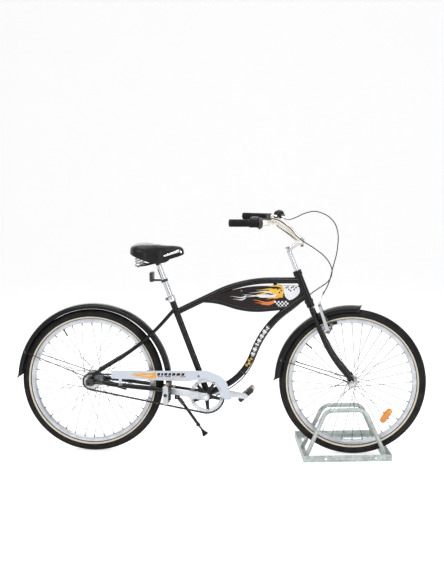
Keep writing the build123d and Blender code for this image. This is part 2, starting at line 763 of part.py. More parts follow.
# Kickstand: bracket under the chain stays and a bent leg that turns about a pin across the frame.
# The rack holds the bicycle upright, so the leg hangs clear of the floor, inside the turning crank arm.
pivot_x, pivot_y, pivot_z = stand_pivot
bracket_plate = plate(Pos(pivot_x, pivot_z + 26) * Rectangle(40, 8), -32.0, 38.0)
drop_low, drop_high = pivot_y - 14, pivot_y - stand_radius - 1.6
bracket_drop = plate(Pos(pivot_x, pivot_z + 8) * Rectangle(24, 36), drop_low, drop_high)
pin_bore = drum(pivot_x, pivot_z, pivot_y - 30, pivot_y, stand_pin_radius + turn_gap)
parts["kickstand_bracket"] = bracket_plate + bracket_drop - pin_bore

leg_way = (Vector(*stand_foot) - Vector(*stand_knee)).normalized()
rod_start = Vector(*stand_foot) - leg_way * stand_rod_length
foot_start = Vector(*stand_foot) - leg_way * stand_foot_length
leg = tube([stand_pivot, stand_knee, xyz(rod_start)], 60.0, stand_radius)
leg += rod(xyz(rod_start), stand_foot, stand_rod_radius)
foot_base = (Align.CENTER, Align.CENTER, Align.MIN)
foot = Cone(stand_rod_radius + 0.5, stand_foot_radius, stand_foot_length, align=foot_base)
leg += Plane(origin=foot_start, z_dir=leg_way) * foot
leg += drum(pivot_x, pivot_z, pivot_y + 0.8 - stand_radius, pivot_y + stand_radius + 1, 11.0)
leg += drum(pivot_x, pivot_z, pivot_y - 16, pivot_y, stand_pin_radius)
parts["kickstand"] = leg

# Crank set: axle, chainring, two arms
arm_way = radians(crank_angle)
arm_inner = arm_y - arm_thickness / 2
arm_outer = arm_y + arm_thickness / 2
crank_axle_half = arm_inner + 2
crank_axle_radius = 8.0
parts["crank_axle"] = drum(bracket_x, bracket_z, -crank_axle_half, crank_axle_half, crank_axle_radius)


def crank_arm(side):
    end = (bracket_x + side * crank_length * cos(arm_way), bracket_z + side * crank_length * sin(arm_way))
    low, high = (-arm_outer, -arm_inner) if side > 0 else (arm_inner, arm_outer)
    shape = plate(link((bracket_x, bracket_z), end, 17.0, 12.0), low, high)
    spindle = (low - 12, low) if side > 0 else (high, high + 12)
    shape += drum(end[0], end[1], min(spindle), max(spindle), 8.0)
    tip = sorted((-side * arm_outer, -side * (arm_outer + pedal_gap + pedal_width - 20)))
    shape += drum(end[0], end[1], tip[0], tip[1], spindle_radius)
    bore_reach = crank_axle_half + weld_gap
    return shape - drum(bracket_x, bracket_z, -bore_reach, bore_reach, crank_axle_radius + weld_gap)


parts["crank_arm_right"] = crank_arm(1)
parts["crank_arm_left"] = crank_arm(-1)

ring_radius = ring_pitch_radius - chain_half_height - 0.5
ring_disc = drum(bracket_x, bracket_z, chain_y - 1.5, chain_y + 1.5, ring_radius)
ring_disc = ring_disc - drum(bracket_x, bracket_z, chain_y - 3, chain_y + 3, ring_radius - 14)
for i in range(5):
    spider_way = radians(-85 + 72 * i)
    reach = ring_radius - 8
    tip = (bracket_x + reach * cos(spider_way), bracket_z + reach * sin(spider_way))
    ring_disc += plate(link((bracket_x, bracket_z), tip, 11.0, 6.0), chain_y - 6.5, chain_y - 1.5)
ring_disc += drum(bracket_x, bracket_z, -arm_inner + weld_gap, chain_y - 1.5, 20.0)
parts["chainring"] = ring_disc - drum(bracket_x, bracket_z, -80, 0, crank_axle_radius + weld_gap)


# Pedals: a frame round a core that turns on the arm's spindle
def pedal(side, tilt):
    way = arm_way if side > 0 else arm_way + radians(180)
    x = bracket_x + crank_length * cos(way)
    z = bracket_z + crank_length * sin(way)
    near = -side * (arm_outer + pedal_gap)
    far = -side * (arm_outer + pedal_gap + pedal_width)
    low, high = min(near, far), max(near, far)
    turn = Pos(x, z) * Rot(0, 0, tilt)
    core = plate(Pos(x, z) * Circle(11), low, high)
    cheek = turn * RectangleRounded(pedal_length, pedal_thickness, 7)
    shape = core + plate(cheek, low, low + 14) + plate(cheek, high - 14, high)
    for share in (-1, 1):
        pad = turn * Pos(share * (pedal_length / 2 - 8), 0) * RectangleRounded(16, pedal_thickness, 4)
        shape += plate(pad, low, high)
    deep = sorted((near + side, far + side * 16))
    return shape - drum(x, z, deep[0], deep[1], spindle_radius + turn_gap)


parts["pedal_right"] = pedal(1, 90.0)
parts["pedal_left"] = pedal(-1, 41.0)


# Chain: one closed loop round the chainring and the sprocket
def loop(grow):
    ring_end, sprocket_end = (bracket_x, bracket_z), (0.0, axle_z)
    return link(ring_end, sprocket_end, ring_pitch_radius + grow, sprocket_pitch_radius + grow)


chain_face = loop(chain_half_height) - loop(-chain_half_height)
parts["chain"] = plate(chain_face, chain_y - chain_half_width, chain_y + chain_half_width)

sprocket_radius = sprocket_pitch_radius - chain_half_height - 0.5
sprocket = drum(0, axle_z, chain_y - 1.2, chain_y + 1.2, sprocket_radius)
sprocket += drum(0, axle_z, chain_y - 3.0, -rear_flange_y - 9 - fit_gap, 18.0)
parts["sprocket"] = sprocket - drum(0, axle_z, -70, 0, hub_bore)

# Chain guard: a hockey-stick plate with a lip over the chain
guard_face = outline(
    [
        (99.0, 383.0), (545.0, 386.0), (622.0, 352.0), (650.0, 255.0), (615.0, 255.0), (594.0, 325.0),
        (535.0, 352.0), (455.0, 338.0), (98.0, 349.0),
    ],
    [6.0, 90.0, 80.0, 6.0, 6.0, 40.0, 50.0, 80.0, 6.0],
)
guard = plate(guard_face, guard_y - guard_thickness, guard_y)
guard_tab = plate(Pos(140.0, 335.0) * Rectangle(14, 36), guard_y - guard_thickness, guard_y)
guard_boss = rod((140.0, guard_y, 322.0), (140.0, guard_y + 1.5, 322.0), 4.0)
parts["chain_guard"] = guard + guard_tab + guard_boss

# Floor rack: an angle-iron base and two hoops that hold the front wheel
rack_place = Pos(rack_centre[0], rack_centre[1], 0) * Rot(0, 0, rack_turn)


def rack_box(u_low, u_high, v_low, v_high, z_low, z_high):
    return Pos(u_low, v_low, z_low) * Box(
        u_high - u_low, v_high - v_low, z_high - z_low, align=(Align.MIN, Align.MIN, Align.MIN)
    )


t = angle_thickness
base = rack_box(rack_rear_u, rack_front_u, rack_near_v, rack_near_v + t, 0, angle_height)
base += rack_box(rack_rear_u, rack_front_u, rack_near_v, rack_near_v + angle_width, 0, t)
base += rack_box(rack_rear_u, rack_front_u, rack_far_v - t, rack_far_v, 0, angle_height)
base += rack_box(rack_rear_u, rack_front_u, rack_far_v - angle_width, rack_far_v, 0, t)
base += rack_box(rack_rear_u, rack_rear_u + t, rack_near_v, rack_far_v, 0, angle_height)
base += rack_box(rack_rear_u, rack_rear_u + angle_width, rack_near_v, rack_far_v, 0, t)
base += rack_box(rack_front_u - t, rack_front_u, rack_near_v, rack_far_v, 0, angle_height)
base += rack_box(rack_front_u - angle_width, rack_front_u, rack_near_v, rack_far_v, 0, t)
hole_middle = (rack_rear_u + rack_front_u) / 2 + 14
for share in (-0.5, 0.5):
    hole = Plane(origin=(hole_middle + share * rack_hole_spacing, rack_near_v - 1, 13), z_dir=(0, 1, 0))
    base = base - extrude(hole * Circle(rack_hole_radius), amount=t + 2)
parts["rack_base"] = rack_place * base


def hoop(side):
    rear = rack_rear_u + angle_width / 2
    front = rack_front_u - angle_width / 2
    foot_v = side * hoop_foot_v
    top_v = side * hoop_top_v
    points = [
        (rear, foot_v, t + weld_gap),
        (rear + 96, top_v, hoop_top_z),
        (front - 92, top_v, hoop_top_z),
        (front, foot_v, t + weld_gap),
    ]
    bar = tube(points, [48.0, 48.0], hoop_radius)
    floor_cut = rack_box(rear - 60, front + 60, foot_v - 60, foot_v + 60, -40, t + weld_gap)
    return bar - floor_cut


parts["rack_hoops"] = rack_place * Compound(children=[hoop(-1), hoop(1)])

# Front brake cable, from the lever round the front of the bar down to the guide pipe
brake_cable_points = [
    (831.4, 314.2, 1057.5),
    (853.0, 306.0, 1057.0),
    (874.0, 284.0, 1056.0),
    (890.0, 253.0, 1053.0),
    (906.0, 224.0, 1053.0),
    (936.0, 192.0, 1065.0),
    (972.0, 165.0, 1084.0),
    (1024.0, 130.0, 1098.0),
    (1082.0, 92.0, 1078.0),
    (1118.0, 60.0, 1042.0),
    (1131.0, 36.0, 988.0),
    (1124.0, 16.0, 912.0),
    (1104.0, 8.0, 844.0),
    (1088.0, 12.0, 776.0),
    (brake_top[0] + 16, 31.0, brake_top[1] + 40),
]


def bends_of(points):
    # The largest arc that each corner's shorter run allows.
    radii = []
    for a, b, c in zip(points, points[1:], points[2:]):
        first = Vector(*b) - Vector(*a)
        second = Vector(*c) - Vector(*b)
        turn = radians(first.get_angle(second))
        radii.append(0.45 * min(first.length, second.length) / tan(turn / 2))
    return radii


cable_radius = 2.5
parts["front_brake_cable"] = tube(brake_cable_points, bends_of(brake_cable_points), cable_radius)

# Shift cable. The fork's half hangs in front of the bar, the frame's half follows the down tube to the hub.
shift_upper_points = [
    (808.6, -304.3, 1081.9),
    (828.0, -297.7, 1081.3),
    (850.0, -271.0, 1081.0),
    (872.0, -240.0, 1074.0),
    (897.0, -211.0, 1058.0),
    (924.0, -185.0, 1036.0),
    (960.0, -148.0, 986.0),
    (1024.0, -104.0, 943.0),
    (1068.0, -62.0, 905.0),
    (1092.0, -34.0, 870.0),
    (1103.0, -18.0, 838.0),
    (1098.0, -9.0, 805.0),
    (1080.0, -2.0, 780.0),
    (1047.0, 10.0, 757.0),
]
parts["shift_cable_upper"] = tube(shift_upper_points, bends_of(shift_upper_points), cable_radius)
under = offset_path(down_path, 16.5)
shift_lower_points = [
    (1046.4, 10.4, 756.6),
    (1016.0, 25.0, 735.0),
    (980.0, 26.0, 704.0),
    (under[1][0] + 118, 9.0, under[1][1] + 84.8),
    (under[1][0], 8.0, under[1][1]),
    (under[2][0], 8.0, under[2][1]),
    (580.0, 7.0, 262.0),
    (536.0, -2.0, 239.0),
    (472.0, -24.0, 258.0),
    (420.0, -40.5, 281.0),
    (300.0, -53.0, 291.0),
    (140.0, -63.5, 309.0),
    (84.0, -72.0, 317.0),
    (52.0, -83.0, 332.0),
    (19.2, -84.0, 334.0),
]
shift_bends = bends_of(shift_lower_points)
shift_bends[2] = 200.0
shift_bends[3] = down_bend_high_radius - 16.5
shift_bends[4] = down_bend_low_radius + 16.5
parts["shift_cable_lower"] = tube(shift_lower_points, shift_bends, cable_radius)

# Shift box on the right end of the rear axle and the brake arm on the left
box_low = -rear_gap_half - dropout_thickness - nut_height - turn_gap - 20
box_high = -rear_gap_half - dropout_thickness - nut_height - turn_gap - fit_gap
shift_box = plate(Pos(2.0, axle_z + 4) * RectangleRounded(34, 30, 8), box_low, box_high)
parts["shift_box"] = shift_box - drum(0, axle_z, box_low - 1, box_high + 1, axle_radius + turn_gap)
coaster = plate(link((0, axle_z), (140.0, axle_z - 48), 14.0, 8.0), 45.0, 48.0)
coaster += rod((140.0, 46.5, axle_z - 48), (140.0, 51.5, axle_z - 22.5), 3.5)
parts["coaster_arm"] = coaster - drum(0, axle_z, 40, 70, axle_radius + turn_gap)

# The origin is under the middle between the rear fender's tip and the front tyre
rear_reach = parts["rear_fender"].bounding_box().min.X
front_reach = parts["front_tyre"].bounding_box().max.X
middle_x = (rear_reach + front_reach) / 2
print("origin x", round(middle_x, 3), "steering axis at", [round(v, 2) for v in steer_point(head_low_z)])
os.makedirs("parts", exist_ok=True)
for name, shape in parts.items():
    export_step(Pos(-middle_x, 0, 0) * shape, "parts/" + name + ".step")
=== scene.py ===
import bmesh
import bpy
import json
from math import acos, atan2, cos, exp, hypot, pi, radians, sin, tan
from mathutils import Matrix, Vector


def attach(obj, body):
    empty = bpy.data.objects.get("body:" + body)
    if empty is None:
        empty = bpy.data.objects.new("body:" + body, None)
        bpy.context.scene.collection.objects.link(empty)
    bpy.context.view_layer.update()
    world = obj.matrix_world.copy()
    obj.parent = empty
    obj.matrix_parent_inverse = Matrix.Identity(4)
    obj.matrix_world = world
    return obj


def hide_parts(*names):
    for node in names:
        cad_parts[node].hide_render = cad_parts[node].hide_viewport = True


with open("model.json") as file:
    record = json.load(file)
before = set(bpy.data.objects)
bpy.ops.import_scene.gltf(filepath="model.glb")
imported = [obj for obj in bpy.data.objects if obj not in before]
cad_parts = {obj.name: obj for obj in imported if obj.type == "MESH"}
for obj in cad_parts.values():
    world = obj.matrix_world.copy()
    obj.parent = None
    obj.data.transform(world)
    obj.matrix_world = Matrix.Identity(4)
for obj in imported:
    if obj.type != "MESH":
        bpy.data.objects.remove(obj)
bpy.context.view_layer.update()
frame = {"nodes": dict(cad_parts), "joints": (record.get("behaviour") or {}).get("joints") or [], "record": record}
nodes = frame["nodes"]
slotOf = {row["node"]: row["material_slot"] for row in frame["record"]["subparts"]}
place = {j["name"]: Vector(j["pos_m"]) for j in frame["joints"]}
scene = bpy.context.scene
mm = 0.001
axleX = place["rear_wheel_spin"].x  # pieces are laid out in mm forward of the rear axle, then moved here
axleZ = place["rear_wheel_spin"].z / mm
wheelbase = (place["front_wheel_spin"].x - axleX) / mm
crankX = (place["crank_spin"].x - axleX) / mm
crankZ = place["crank_spin"].z / mm
print("frame loaded:", len(nodes), "nodes")


# Camera, lamps and floor
camera = {"x": 1117.0, "y": -4931.0, "z": 1290.0, "yaw": -5.93, "pitch": 6.12, "roll": -0.73,
          "focal": 1100.0, "frameHeight": 575.0, "sensor": 36.0}


def makeCamera():
    yaw, pitch, roll = (radians(camera[k]) for k in ("yaw", "pitch", "roll"))
    ahead = Vector((sin(yaw) * cos(pitch), cos(yaw) * cos(pitch), -sin(pitch)))
    level = Vector((cos(yaw), -sin(yaw), 0.0))
    above = level.cross(ahead)
    right = level * cos(roll) + above * sin(roll)
    up = above * cos(roll) - level * sin(roll)
    data = bpy.data.cameras.new("viewCamera")
    data.sensor_width = camera["sensor"]
    data.lens = camera["focal"] / camera["frameHeight"] * camera["sensor"]
    data.clip_end = 100.0
    eye = bpy.data.objects.new("viewCamera", data)
    turn = Matrix((right, up, -ahead)).transposed().to_4x4()
    eye.matrix_world = Matrix.Translation((axleX + camera["x"] * mm, camera["y"] * mm,
                                           camera["z"] * mm)) @ turn
    scene.collection.objects.link(eye)
    scene.camera = eye


studio = {"worldFill": 0.40, "floorTone": 0.88, "floorGlow": 0.56,
          "lamps": [  # name, place, width, height, watts; each looks at the middle of the bicycle
              ("keyStrip", (-0.6, -2.6, 2.9), 3.4, 0.30, 58.0),
              ("sideStrip", (2.6, -2.4, 1.5), 0.25, 2.6, 26.0),
              ("topLamp", (0.2, 0.6, 4.2), 3.2, 2.4, 62.0),
              ("backLamp", (-1.4, 3.6, 2.4), 2.4, 2.4, 36.0)]}


def seenMask(tree, path):
    # 1 for what the camera, metal and lenses see, 0 for the light that falls on the object
    return mathNode(tree, "MAXIMUM", path.outputs["Is Camera Ray"],
                    mathNode(tree, "MAXIMUM", path.outputs["Is Glossy Ray"],
                             path.outputs["Is Transmission Ray"]))


def makeStudio():
    world = bpy.data.worlds.new("studioWorld")
    scene.world = world
    world.use_nodes = True
    tree = world.node_tree
    back = tree.nodes["Background"]
    path = tree.nodes.new("ShaderNodeLightPath")
    seen = seenMask(tree, path)
    level = tree.nodes.new("ShaderNodeMapRange")  # white where it is seen, dimmer where it lights the object
    level.inputs["To Min"].default_value = studio["worldFill"]
    level.inputs["To Max"].default_value = 1.0
    tree.links.new(seen, level.inputs["Value"])
    tree.links.new(level.outputs["Result"], back.inputs["Strength"])
    back.inputs["Color"].default_value = (1.0, 1.0, 1.0, 1.0)
    for name, spot, width, height, watts in studio["lamps"]:
        data = bpy.data.lights.new(name, "AREA")
        data.shape = "RECTANGLE"
        data.size = width
        data.size_y = height
        data.energy = watts
        lamp = bpy.data.objects.new(name, data)
        lamp.location = spot
        lamp.rotation_euler = (Vector((0, 0, 0.5)) - Vector(spot)).to_track_quat("-Z", "Y").to_euler()
        scene.collection.objects.link(lamp)
    scene.view_settings.view_transform = "Standard"


# Shared shader effects, each a node group with named sockets
def newGroup(name, inputs, outputs):
    group = bpy.data.node_groups.new(name, "ShaderNodeTree")
    for label, kind, value in inputs:
        socket = group.interface.new_socket(label, in_out="INPUT", socket_type=kind)
        socket.default_value = value
    for label, kind in outputs:
        group.interface.new_socket(label, in_out="OUTPUT", socket_type=kind)
    return group, group.nodes.new("NodeGroupInput"), group.nodes.new("NodeGroupOutput")


def addNode(tree, kind, **settings):
    node = tree.nodes.new(kind)
    for key, value in settings.items():
        setattr(node, key, value)
    return node


def mathNode(tree, operation, first, second):
    node = addNode(tree, "ShaderNodeMath", operation=operation)
    for i, value in enumerate((first, second)):
        if isinstance(value, (int, float)):
            node.inputs[i].default_value = value
        else:
            tree.links.new(value, node.inputs[i])
    return node.outputs[0]


def rampNode(tree, value, low, high):
    node = addNode(tree, "ShaderNodeMapRange", clamp=True)
    tree.links.new(value, node.inputs["Value"])
    node.inputs["From Min"].default_value = low
    node.inputs["From Max"].default_value = high
    return node.outputs["Result"]


def makeGrainGroup():
    # Fine surface relief, and a slow blotch that varies colour and roughness
    group, source, sink = newGroup("surfaceGrain", [("Grain Size", "NodeSocketFloat", 400.0),
                                                    ("Blotch Size", "NodeSocketFloat", 9.0)],
                                   [("Height", "NodeSocketFloat"), ("Blotch", "NodeSocketFloat")])
    spot = addNode(group, "ShaderNodeTexCoord")
    fine = addNode(group, "ShaderNodeTexNoise")
    fine.inputs["Detail"].default_value = 3.0
    slow = addNode(group, "ShaderNodeTexNoise")
    slow.inputs["Detail"].default_value = 5.0
    slow.inputs["Roughness"].default_value = 0.62
    for texture, label in ((fine, "Grain Size"), (slow, "Blotch Size")):
        group.links.new(spot.outputs["Object"], texture.inputs["Vector"])
        group.links.new(source.outputs[label], texture.inputs["Scale"])
    group.links.new(fine.outputs["Fac"], sink.inputs["Height"])
    group.links.new(rampNode(group, slow.outputs["Fac"], 0.36, 0.66), sink.inputs["Blotch"])
    return group


def makeWearGroup():
    # Bare metal or scuffing along edges, broken up by noise
    group, source, sink = newGroup("edgeWear", [("Amount", "NodeSocketFloat", 0.5),
                                                ("Break Size", "NodeSocketFloat", 120.0)],
                                   [("Mask", "NodeSocketFloat")])
    form = addNode(group, "ShaderNodeNewGeometry")
    spot = addNode(group, "ShaderNodeTexCoord")
    noise = addNode(group, "ShaderNodeTexNoise")
    noise.inputs["Detail"].default_value = 4.0
    group.links.new(spot.outputs["Object"], noise.inputs["Vector"])
    group.links.new(source.outputs["Break Size"], noise.inputs["Scale"])
    edge = rampNode(group, form.outputs["Pointiness"], 0.52, 0.60)
    broken = rampNode(group, noise.outputs["Fac"], 0.48, 0.62)
    mask = mathNode(group, "MULTIPLY", edge, broken)
    group.links.new(mathNode(group, "MULTIPLY", mask, source.outputs["Amount"]), sink.inputs["Mask"])
    return group


def makeDustGroup():
    # Pale film on what faces up, thicker near the floor
    group, source, sink = newGroup("dustFilm", [("Amount", "NodeSocketFloat", 0.2)],
                                   [("Mask", "NodeSocketFloat")])
    form = addNode(group, "ShaderNodeNewGeometry")
    spot = addNode(group, "ShaderNodeTexCoord")
    parts = addNode(group, "ShaderNodeSeparateXYZ")
    lift = addNode(group, "ShaderNodeSeparateXYZ")
    noise = addNode(group, "ShaderNodeTexNoise")
    noise.inputs["Scale"].default_value = 26.0
    noise.inputs["Detail"].default_value = 6.0
    group.links.new(form.outputs["Normal"], parts.inputs[0])
    group.links.new(spot.outputs["Object"], noise.inputs["Vector"])
    group.links.new(spot.outputs["Object"], lift.inputs[0])
    facing = rampNode(group, parts.outputs["Z"], -0.1, 0.9)
    low = rampNode(group, lift.outputs["Z"], 0.9, 0.0)
    mix = mathNode(group, "MULTIPLY", mathNode(group, "MAXIMUM", facing, low),
                   rampNode(group, noise.outputs["Fac"], 0.4, 0.75))
    group.links.new(mathNode(group, "MULTIPLY", mix, source.outputs["Amount"]), sink.inputs["Mask"])
    return group


def tone(red, green, blue):
    # A screen colour of 0 to 255 as the linear colour that a shader takes
    return tuple(((c / 255) / 12.92 if c <= 10 else ((c / 255 + 0.055) / 1.055) ** 2.4)
                 for c in (red, green, blue)) + (1.0,)


def mixColour(tree, factor, first, second):
    node = addNode(tree, "ShaderNodeMix", data_type="RGBA")
    if isinstance(factor, (int, float)):
        node.inputs["Factor"].default_value = factor
    else:
        tree.links.new(factor, node.inputs["Factor"])
    for socket, value in ((node.inputs[6], first), (node.inputs[7], second)):
        if isinstance(value, tuple):
            socket.default_value = value
        else:
            tree.links.new(value, socket)
    return node.outputs[2]


surface = {"dustTone": (168, 162, 152), "coatRough": 0.06, "bumpStrength": 0.8}  # the same on every finish
groups = {"grain": makeGrainGroup(), "wear": makeWearGroup(), "dust": makeDustGroup()}
# Each finish has two tones, a worn one and a roughness. The rest is as usual where it isn't given: the spread
# of roughness, metallic, coat, scales of grain and blotch, relief in mm, wear, dust, and gleam, which is the
# specular level
usual = dict(spread=0.1, metal=0.0, coat=0.0, grain=900, blotch=20, relief=0.01, wear=0.2, dust=0.03,
             gleam=0.5)
finishes = {
    "gloss": dict(tone=(5, 5, 6), second=(9, 9, 11), worn=(52, 52, 54), rough=0.10, spread=0.06, grain=700,
                  blotch=7, relief=0.012, wear=0.35, dust=0.015, gleam=0.25),
    "satin": dict(tone=(11, 11, 12), second=(20, 20, 21), worn=(96, 94, 92), rough=0.30, spread=0.12,
                  coat=0.1, blotch=14, relief=0.03, wear=0.6, dust=0.05, gleam=0.2),
    "guard": dict(tone=(208, 216, 227), second=(211, 219, 229), worn=(176, 178, 182), rough=0.30, spread=0.06,
                  coat=0.1, grain=600, blotch=6, relief=0.008, wear=0.12, dust=0.01),
    "chrome": dict(tone=(206, 207, 210), second=(184, 186, 190), worn=(140, 137, 132), rough=0.07,
                   spread=0.08, metal=1.0, grain=1200, blotch=16, relief=0.006, wear=0.25),
    "warmChrome": dict(tone=(232, 226, 216), second=(214, 206, 194), worn=(150, 144, 132), rough=0.10,
                       metal=1.0, grain=1200, blotch=16, relief=0.008, wear=0.25),
    "spokeSteel": dict(tone=(72, 73, 76), second=(54, 55, 58), worn=(110, 110, 112), rough=0.5, spread=0.15,
                       metal=0.3, grain=1500, blotch=22),
    "alloy": dict(tone=(196, 199, 203), second=(172, 176, 181), worn=(140, 140, 142), rough=0.22, spread=0.14,
                  metal=0.9, grain=1500, blotch=22, relief=0.02, wear=0.3, dust=0.05),
    "steel": dict(tone=(122, 122, 124), second=(96, 96, 98), worn=(182, 182, 184), rough=0.32, spread=0.16,
                  metal=1.0, grain=1500, blotch=30, relief=0.02, wear=0.3, dust=0.05),
    "chain": dict(tone=(40, 38, 36), second=(24, 23, 22), worn=(112, 108, 104), rough=0.42, spread=0.2,
                  metal=0.8, grain=1600, blotch=60, relief=0.04, wear=0.7, dust=0.08),
    "rubber": dict(tone=(16, 16, 16), second=(25, 24, 24), worn=(50, 48, 46), rough=0.66, spread=0.16,
                   grain=1400, blotch=18, relief=0.06, wear=0.4, dust=0.07, gleam=0.2),
    "cream": dict(tone=(226, 219, 200), second=(214, 204, 182), worn=(184, 166, 136), rough=0.55, spread=0.15,
                  grain=1200, relief=0.03, wear=0.3, dust=0.12),
    "bead": dict(tone=(74, 58, 40), second=(50, 40, 30), worn=(90, 74, 54), rough=0.6, spread=0.15,
                 grain=1200, blotch=26, relief=0.03, dust=0.1),
    "plastic": dict(tone=(20, 20, 21), second=(30, 30, 31), worn=(70, 70, 70), rough=0.42, spread=0.12,
                    coat=0.1, grain=1800, relief=0.03, wear=0.4, dust=0.06),
    "housing": dict(tone=(13, 13, 14), second=(22, 22, 23), worn=(60, 60, 60), rough=0.28, coat=0.3,
                    grain=1500, blotch=30, dust=0.04),
    "galvanised": dict(tone=(186, 194, 190), second=(146, 156, 153), worn=(112, 118, 114), rough=0.44,
                       spread=0.2, metal=0.55, blotch=34, relief=0.05, wear=0.4, dust=0.12),
    "whiteDecal": dict(tone=(240, 242, 244), second=(226, 229, 234), worn=(170, 170, 170), rough=0.2,
                       coat=0.7),
    "goldDecal": dict(tone=(214, 170, 60), second=(196, 148, 44), worn=(150, 120, 60), rough=0.22, metal=0.2,
                      coat=0.7),
    "flameFlat": dict(tone=(244, 176, 44), second=(238, 162, 36), worn=(170, 130, 60), rough=0.22, coat=0.5),
    "flameDeep": dict(tone=(230, 130, 44), second=(216, 108, 34), worn=(160, 90, 40), rough=0.22, coat=0.5,
                      dust=0.02),
    "redStripe": dict(tone=(170, 42, 34), second=(150, 36, 30), worn=(120, 60, 50), rough=0.22, coat=0.5),
    "panelBrown": dict(tone=(30, 24, 24), second=(38, 31, 30), worn=(80, 76, 74), rough=0.2, spread=0.08,
                       blotch=10, wear=0.3, dust=0.02, gleam=0.2),
    "silverTrim": dict(tone=(236, 238, 240), second=(214, 216, 220), worn=(170, 170, 172), rough=0.14,
                       spread=0.08, metal=0.85, coat=0.2, dust=0.02)}


def makeFinish(name):
    s = {**usual, **finishes[name]}
    material = bpy.data.materials.new(name)
    material.use_nodes = True
    tree = material.node_tree
    shader = tree.nodes["Principled BSDF"]
    grain = addNode(tree, "ShaderNodeGroup", node_tree=groups["grain"])
    grain.inputs["Grain Size"].default_value = s["grain"]
    grain.inputs["Blotch Size"].default_value = s["blotch"]
    wear = addNode(tree, "ShaderNodeGroup", node_tree=groups["wear"])
    wear.inputs["Amount"].default_value = s["wear"]
    dust = addNode(tree, "ShaderNodeGroup", node_tree=groups["dust"])
    dust.inputs["Amount"].default_value = s["dust"]
    colour = mixColour(tree, grain.outputs["Blotch"], tone(*s["tone"]), tone(*s["second"]))
    colour = mixColour(tree, wear.outputs["Mask"], colour, tone(*s["worn"]))
    colour = mixColour(tree, dust.outputs["Mask"], colour, tone(*surface["dustTone"]))
    tree.links.new(colour, shader.inputs["Base Color"])
    rough = addNode(tree, "ShaderNodeMapRange")
    rough.inputs["To Min"].default_value = s["rough"]
    rough.inputs["To Max"].default_value = s["rough"] + s["spread"]
    tree.links.new(grain.outputs["Blotch"], rough.inputs["Value"])
    tree.links.new(rough.outputs["Result"], shader.inputs["Roughness"])
    shader.inputs["Metallic"].default_value = s["metal"]
    shader.inputs["Coat Weight"].default_value = s["coat"]
    shader.inputs["Specular IOR Level"].default_value = s["gleam"]
    shader.inputs["Coat Roughness"].default_value = surface["coatRough"]
    bump = addNode(tree, "ShaderNodeBump")
    bump.inputs["Distance"].default_value = s["relief"] * mm
    bump.inputs["Strength"].default_value = surface["bumpStrength"]
    tree.links.new(grain.outputs["Height"], bump.inputs["Height"])
    tree.links.new(bump.outputs["Normal"], shader.inputs["Normal"])
    return material


def addRelief(material, kind, scale, depth, along=(1.0, 1.0, 1.0)):
    # A second, coarser relief under the fine grain: leather cells, lens prisms or zinc spangle
    tree = material.node_tree
    spot = addNode(tree, "ShaderNodeTexCoord")
    stretch = addNode(tree, "ShaderNodeMapping")
    stretch.inputs["Scale"].default_value = along
    cells = addNode(tree, "ShaderNodeTexVoronoi", feature=kind)
    cells.inputs["Scale"].default_value = scale
    tree.links.new(spot.outputs["Object"], stretch.inputs["Vector"])
    tree.links.new(stretch.outputs["Vector"], cells.inputs["Vector"])
    bump = addNode(tree, "ShaderNodeBump")
    bump.inputs["Distance"].default_value = depth * mm
    tree.links.new(cells.outputs["Distance"], bump.inputs["Height"])
    fine = [n for n in tree.nodes if n.type == "BUMP"][0]
    tree.links.new(bump.outputs["Normal"], fine.inputs["Normal"])
    return cells


def makeVinyl():
    finishes["vinyl"] = dict(tone=(11, 11, 12), second=(19, 18, 18), worn=(60, 58, 56), rough=0.26,
                             spread=0.14, grain=1400, blotch=12, relief=0.02, wear=0.3, gleam=0.2)
    material = makeFinish("vinyl")
    addRelief(material, "F1", 620.0, 0.10)
    return material


def makeZinc():
    material = makeFinish("galvanised")
    cells = addRelief(material, "F1", 150.0, 0.03)
    tree = material.node_tree
    shader = tree.nodes["Principled BSDF"]
    base = shader.inputs["Base Color"].links[0].from_socket
    spangle = addNode(tree, "ShaderNodeSeparateColor")
    tree.links.new(cells.outputs["Color"], spangle.inputs[0])
    flake = rampNode(tree, spangle.outputs[0], 0.0, 3.2)
    tree.links.new(mixColour(tree, flake, base, tone(224, 230, 228)), shader.inputs["Base Color"])
    return material


def makeLens(name, colour, deep):
    finishes[name] = dict(tone=colour, second=deep, worn=deep, rough=0.12, spread=0.08, coat=0.8, blotch=40,
                          relief=0.02, wear=0.0)
    material = makeFinish(name)
    cells = addRelief(material, "F1", 420.0, 0.5)
    tree = material.node_tree
    shader = tree.nodes["Principled BSDF"]
    base = shader.inputs["Base Color"].links[0].from_socket
    facet = rampNode(tree, cells.outputs["Distance"], 0.1, 0.75)
    tree.links.new(mixColour(tree, facet, base, tone(*deep)), shader.inputs["Base Color"])
    return material


def makeFlame():
    # Yellow high on the tank, and orange towards its lower edge
    finishes["flame"] = dict(tone=(240, 196, 62), second=(234, 184, 48), worn=(170, 120, 40), rough=0.2,
                             coat=0.8, blotch=16, wear=0.15, dust=0.02)
    material = makeFinish("flame")
    tree = material.node_tree
    shader = tree.nodes["Principled BSDF"]
    base = shader.inputs["Base Color"].links[0].from_socket
    spot = addNode(tree, "ShaderNodeTexCoord")
    parts = addNode(tree, "ShaderNodeSeparateXYZ")
    tree.links.new(spot.outputs["Object"], parts.inputs[0])
    tipward = rampNode(tree, parts.outputs["Z"], 0.735, 0.685)
    tree.links.new(mixColour(tree, tipward, base, tone(226, 122, 40)), shader.inputs["Base Color"])
    return material


def makeMaterials():
    made = {name: makeFinish(name) for name in list(finishes) if name != "galvanised"}
    made["vinyl"] = makeVinyl()
    made["galvanised"] = makeZinc()
    made["amber"] = makeLens("amberLens", (244, 166, 24), (226, 136, 14))
    made["red"] = makeLens("redLens", (150, 18, 20), (70, 8, 10))
    made["flame"] = makeFlame()
    return made


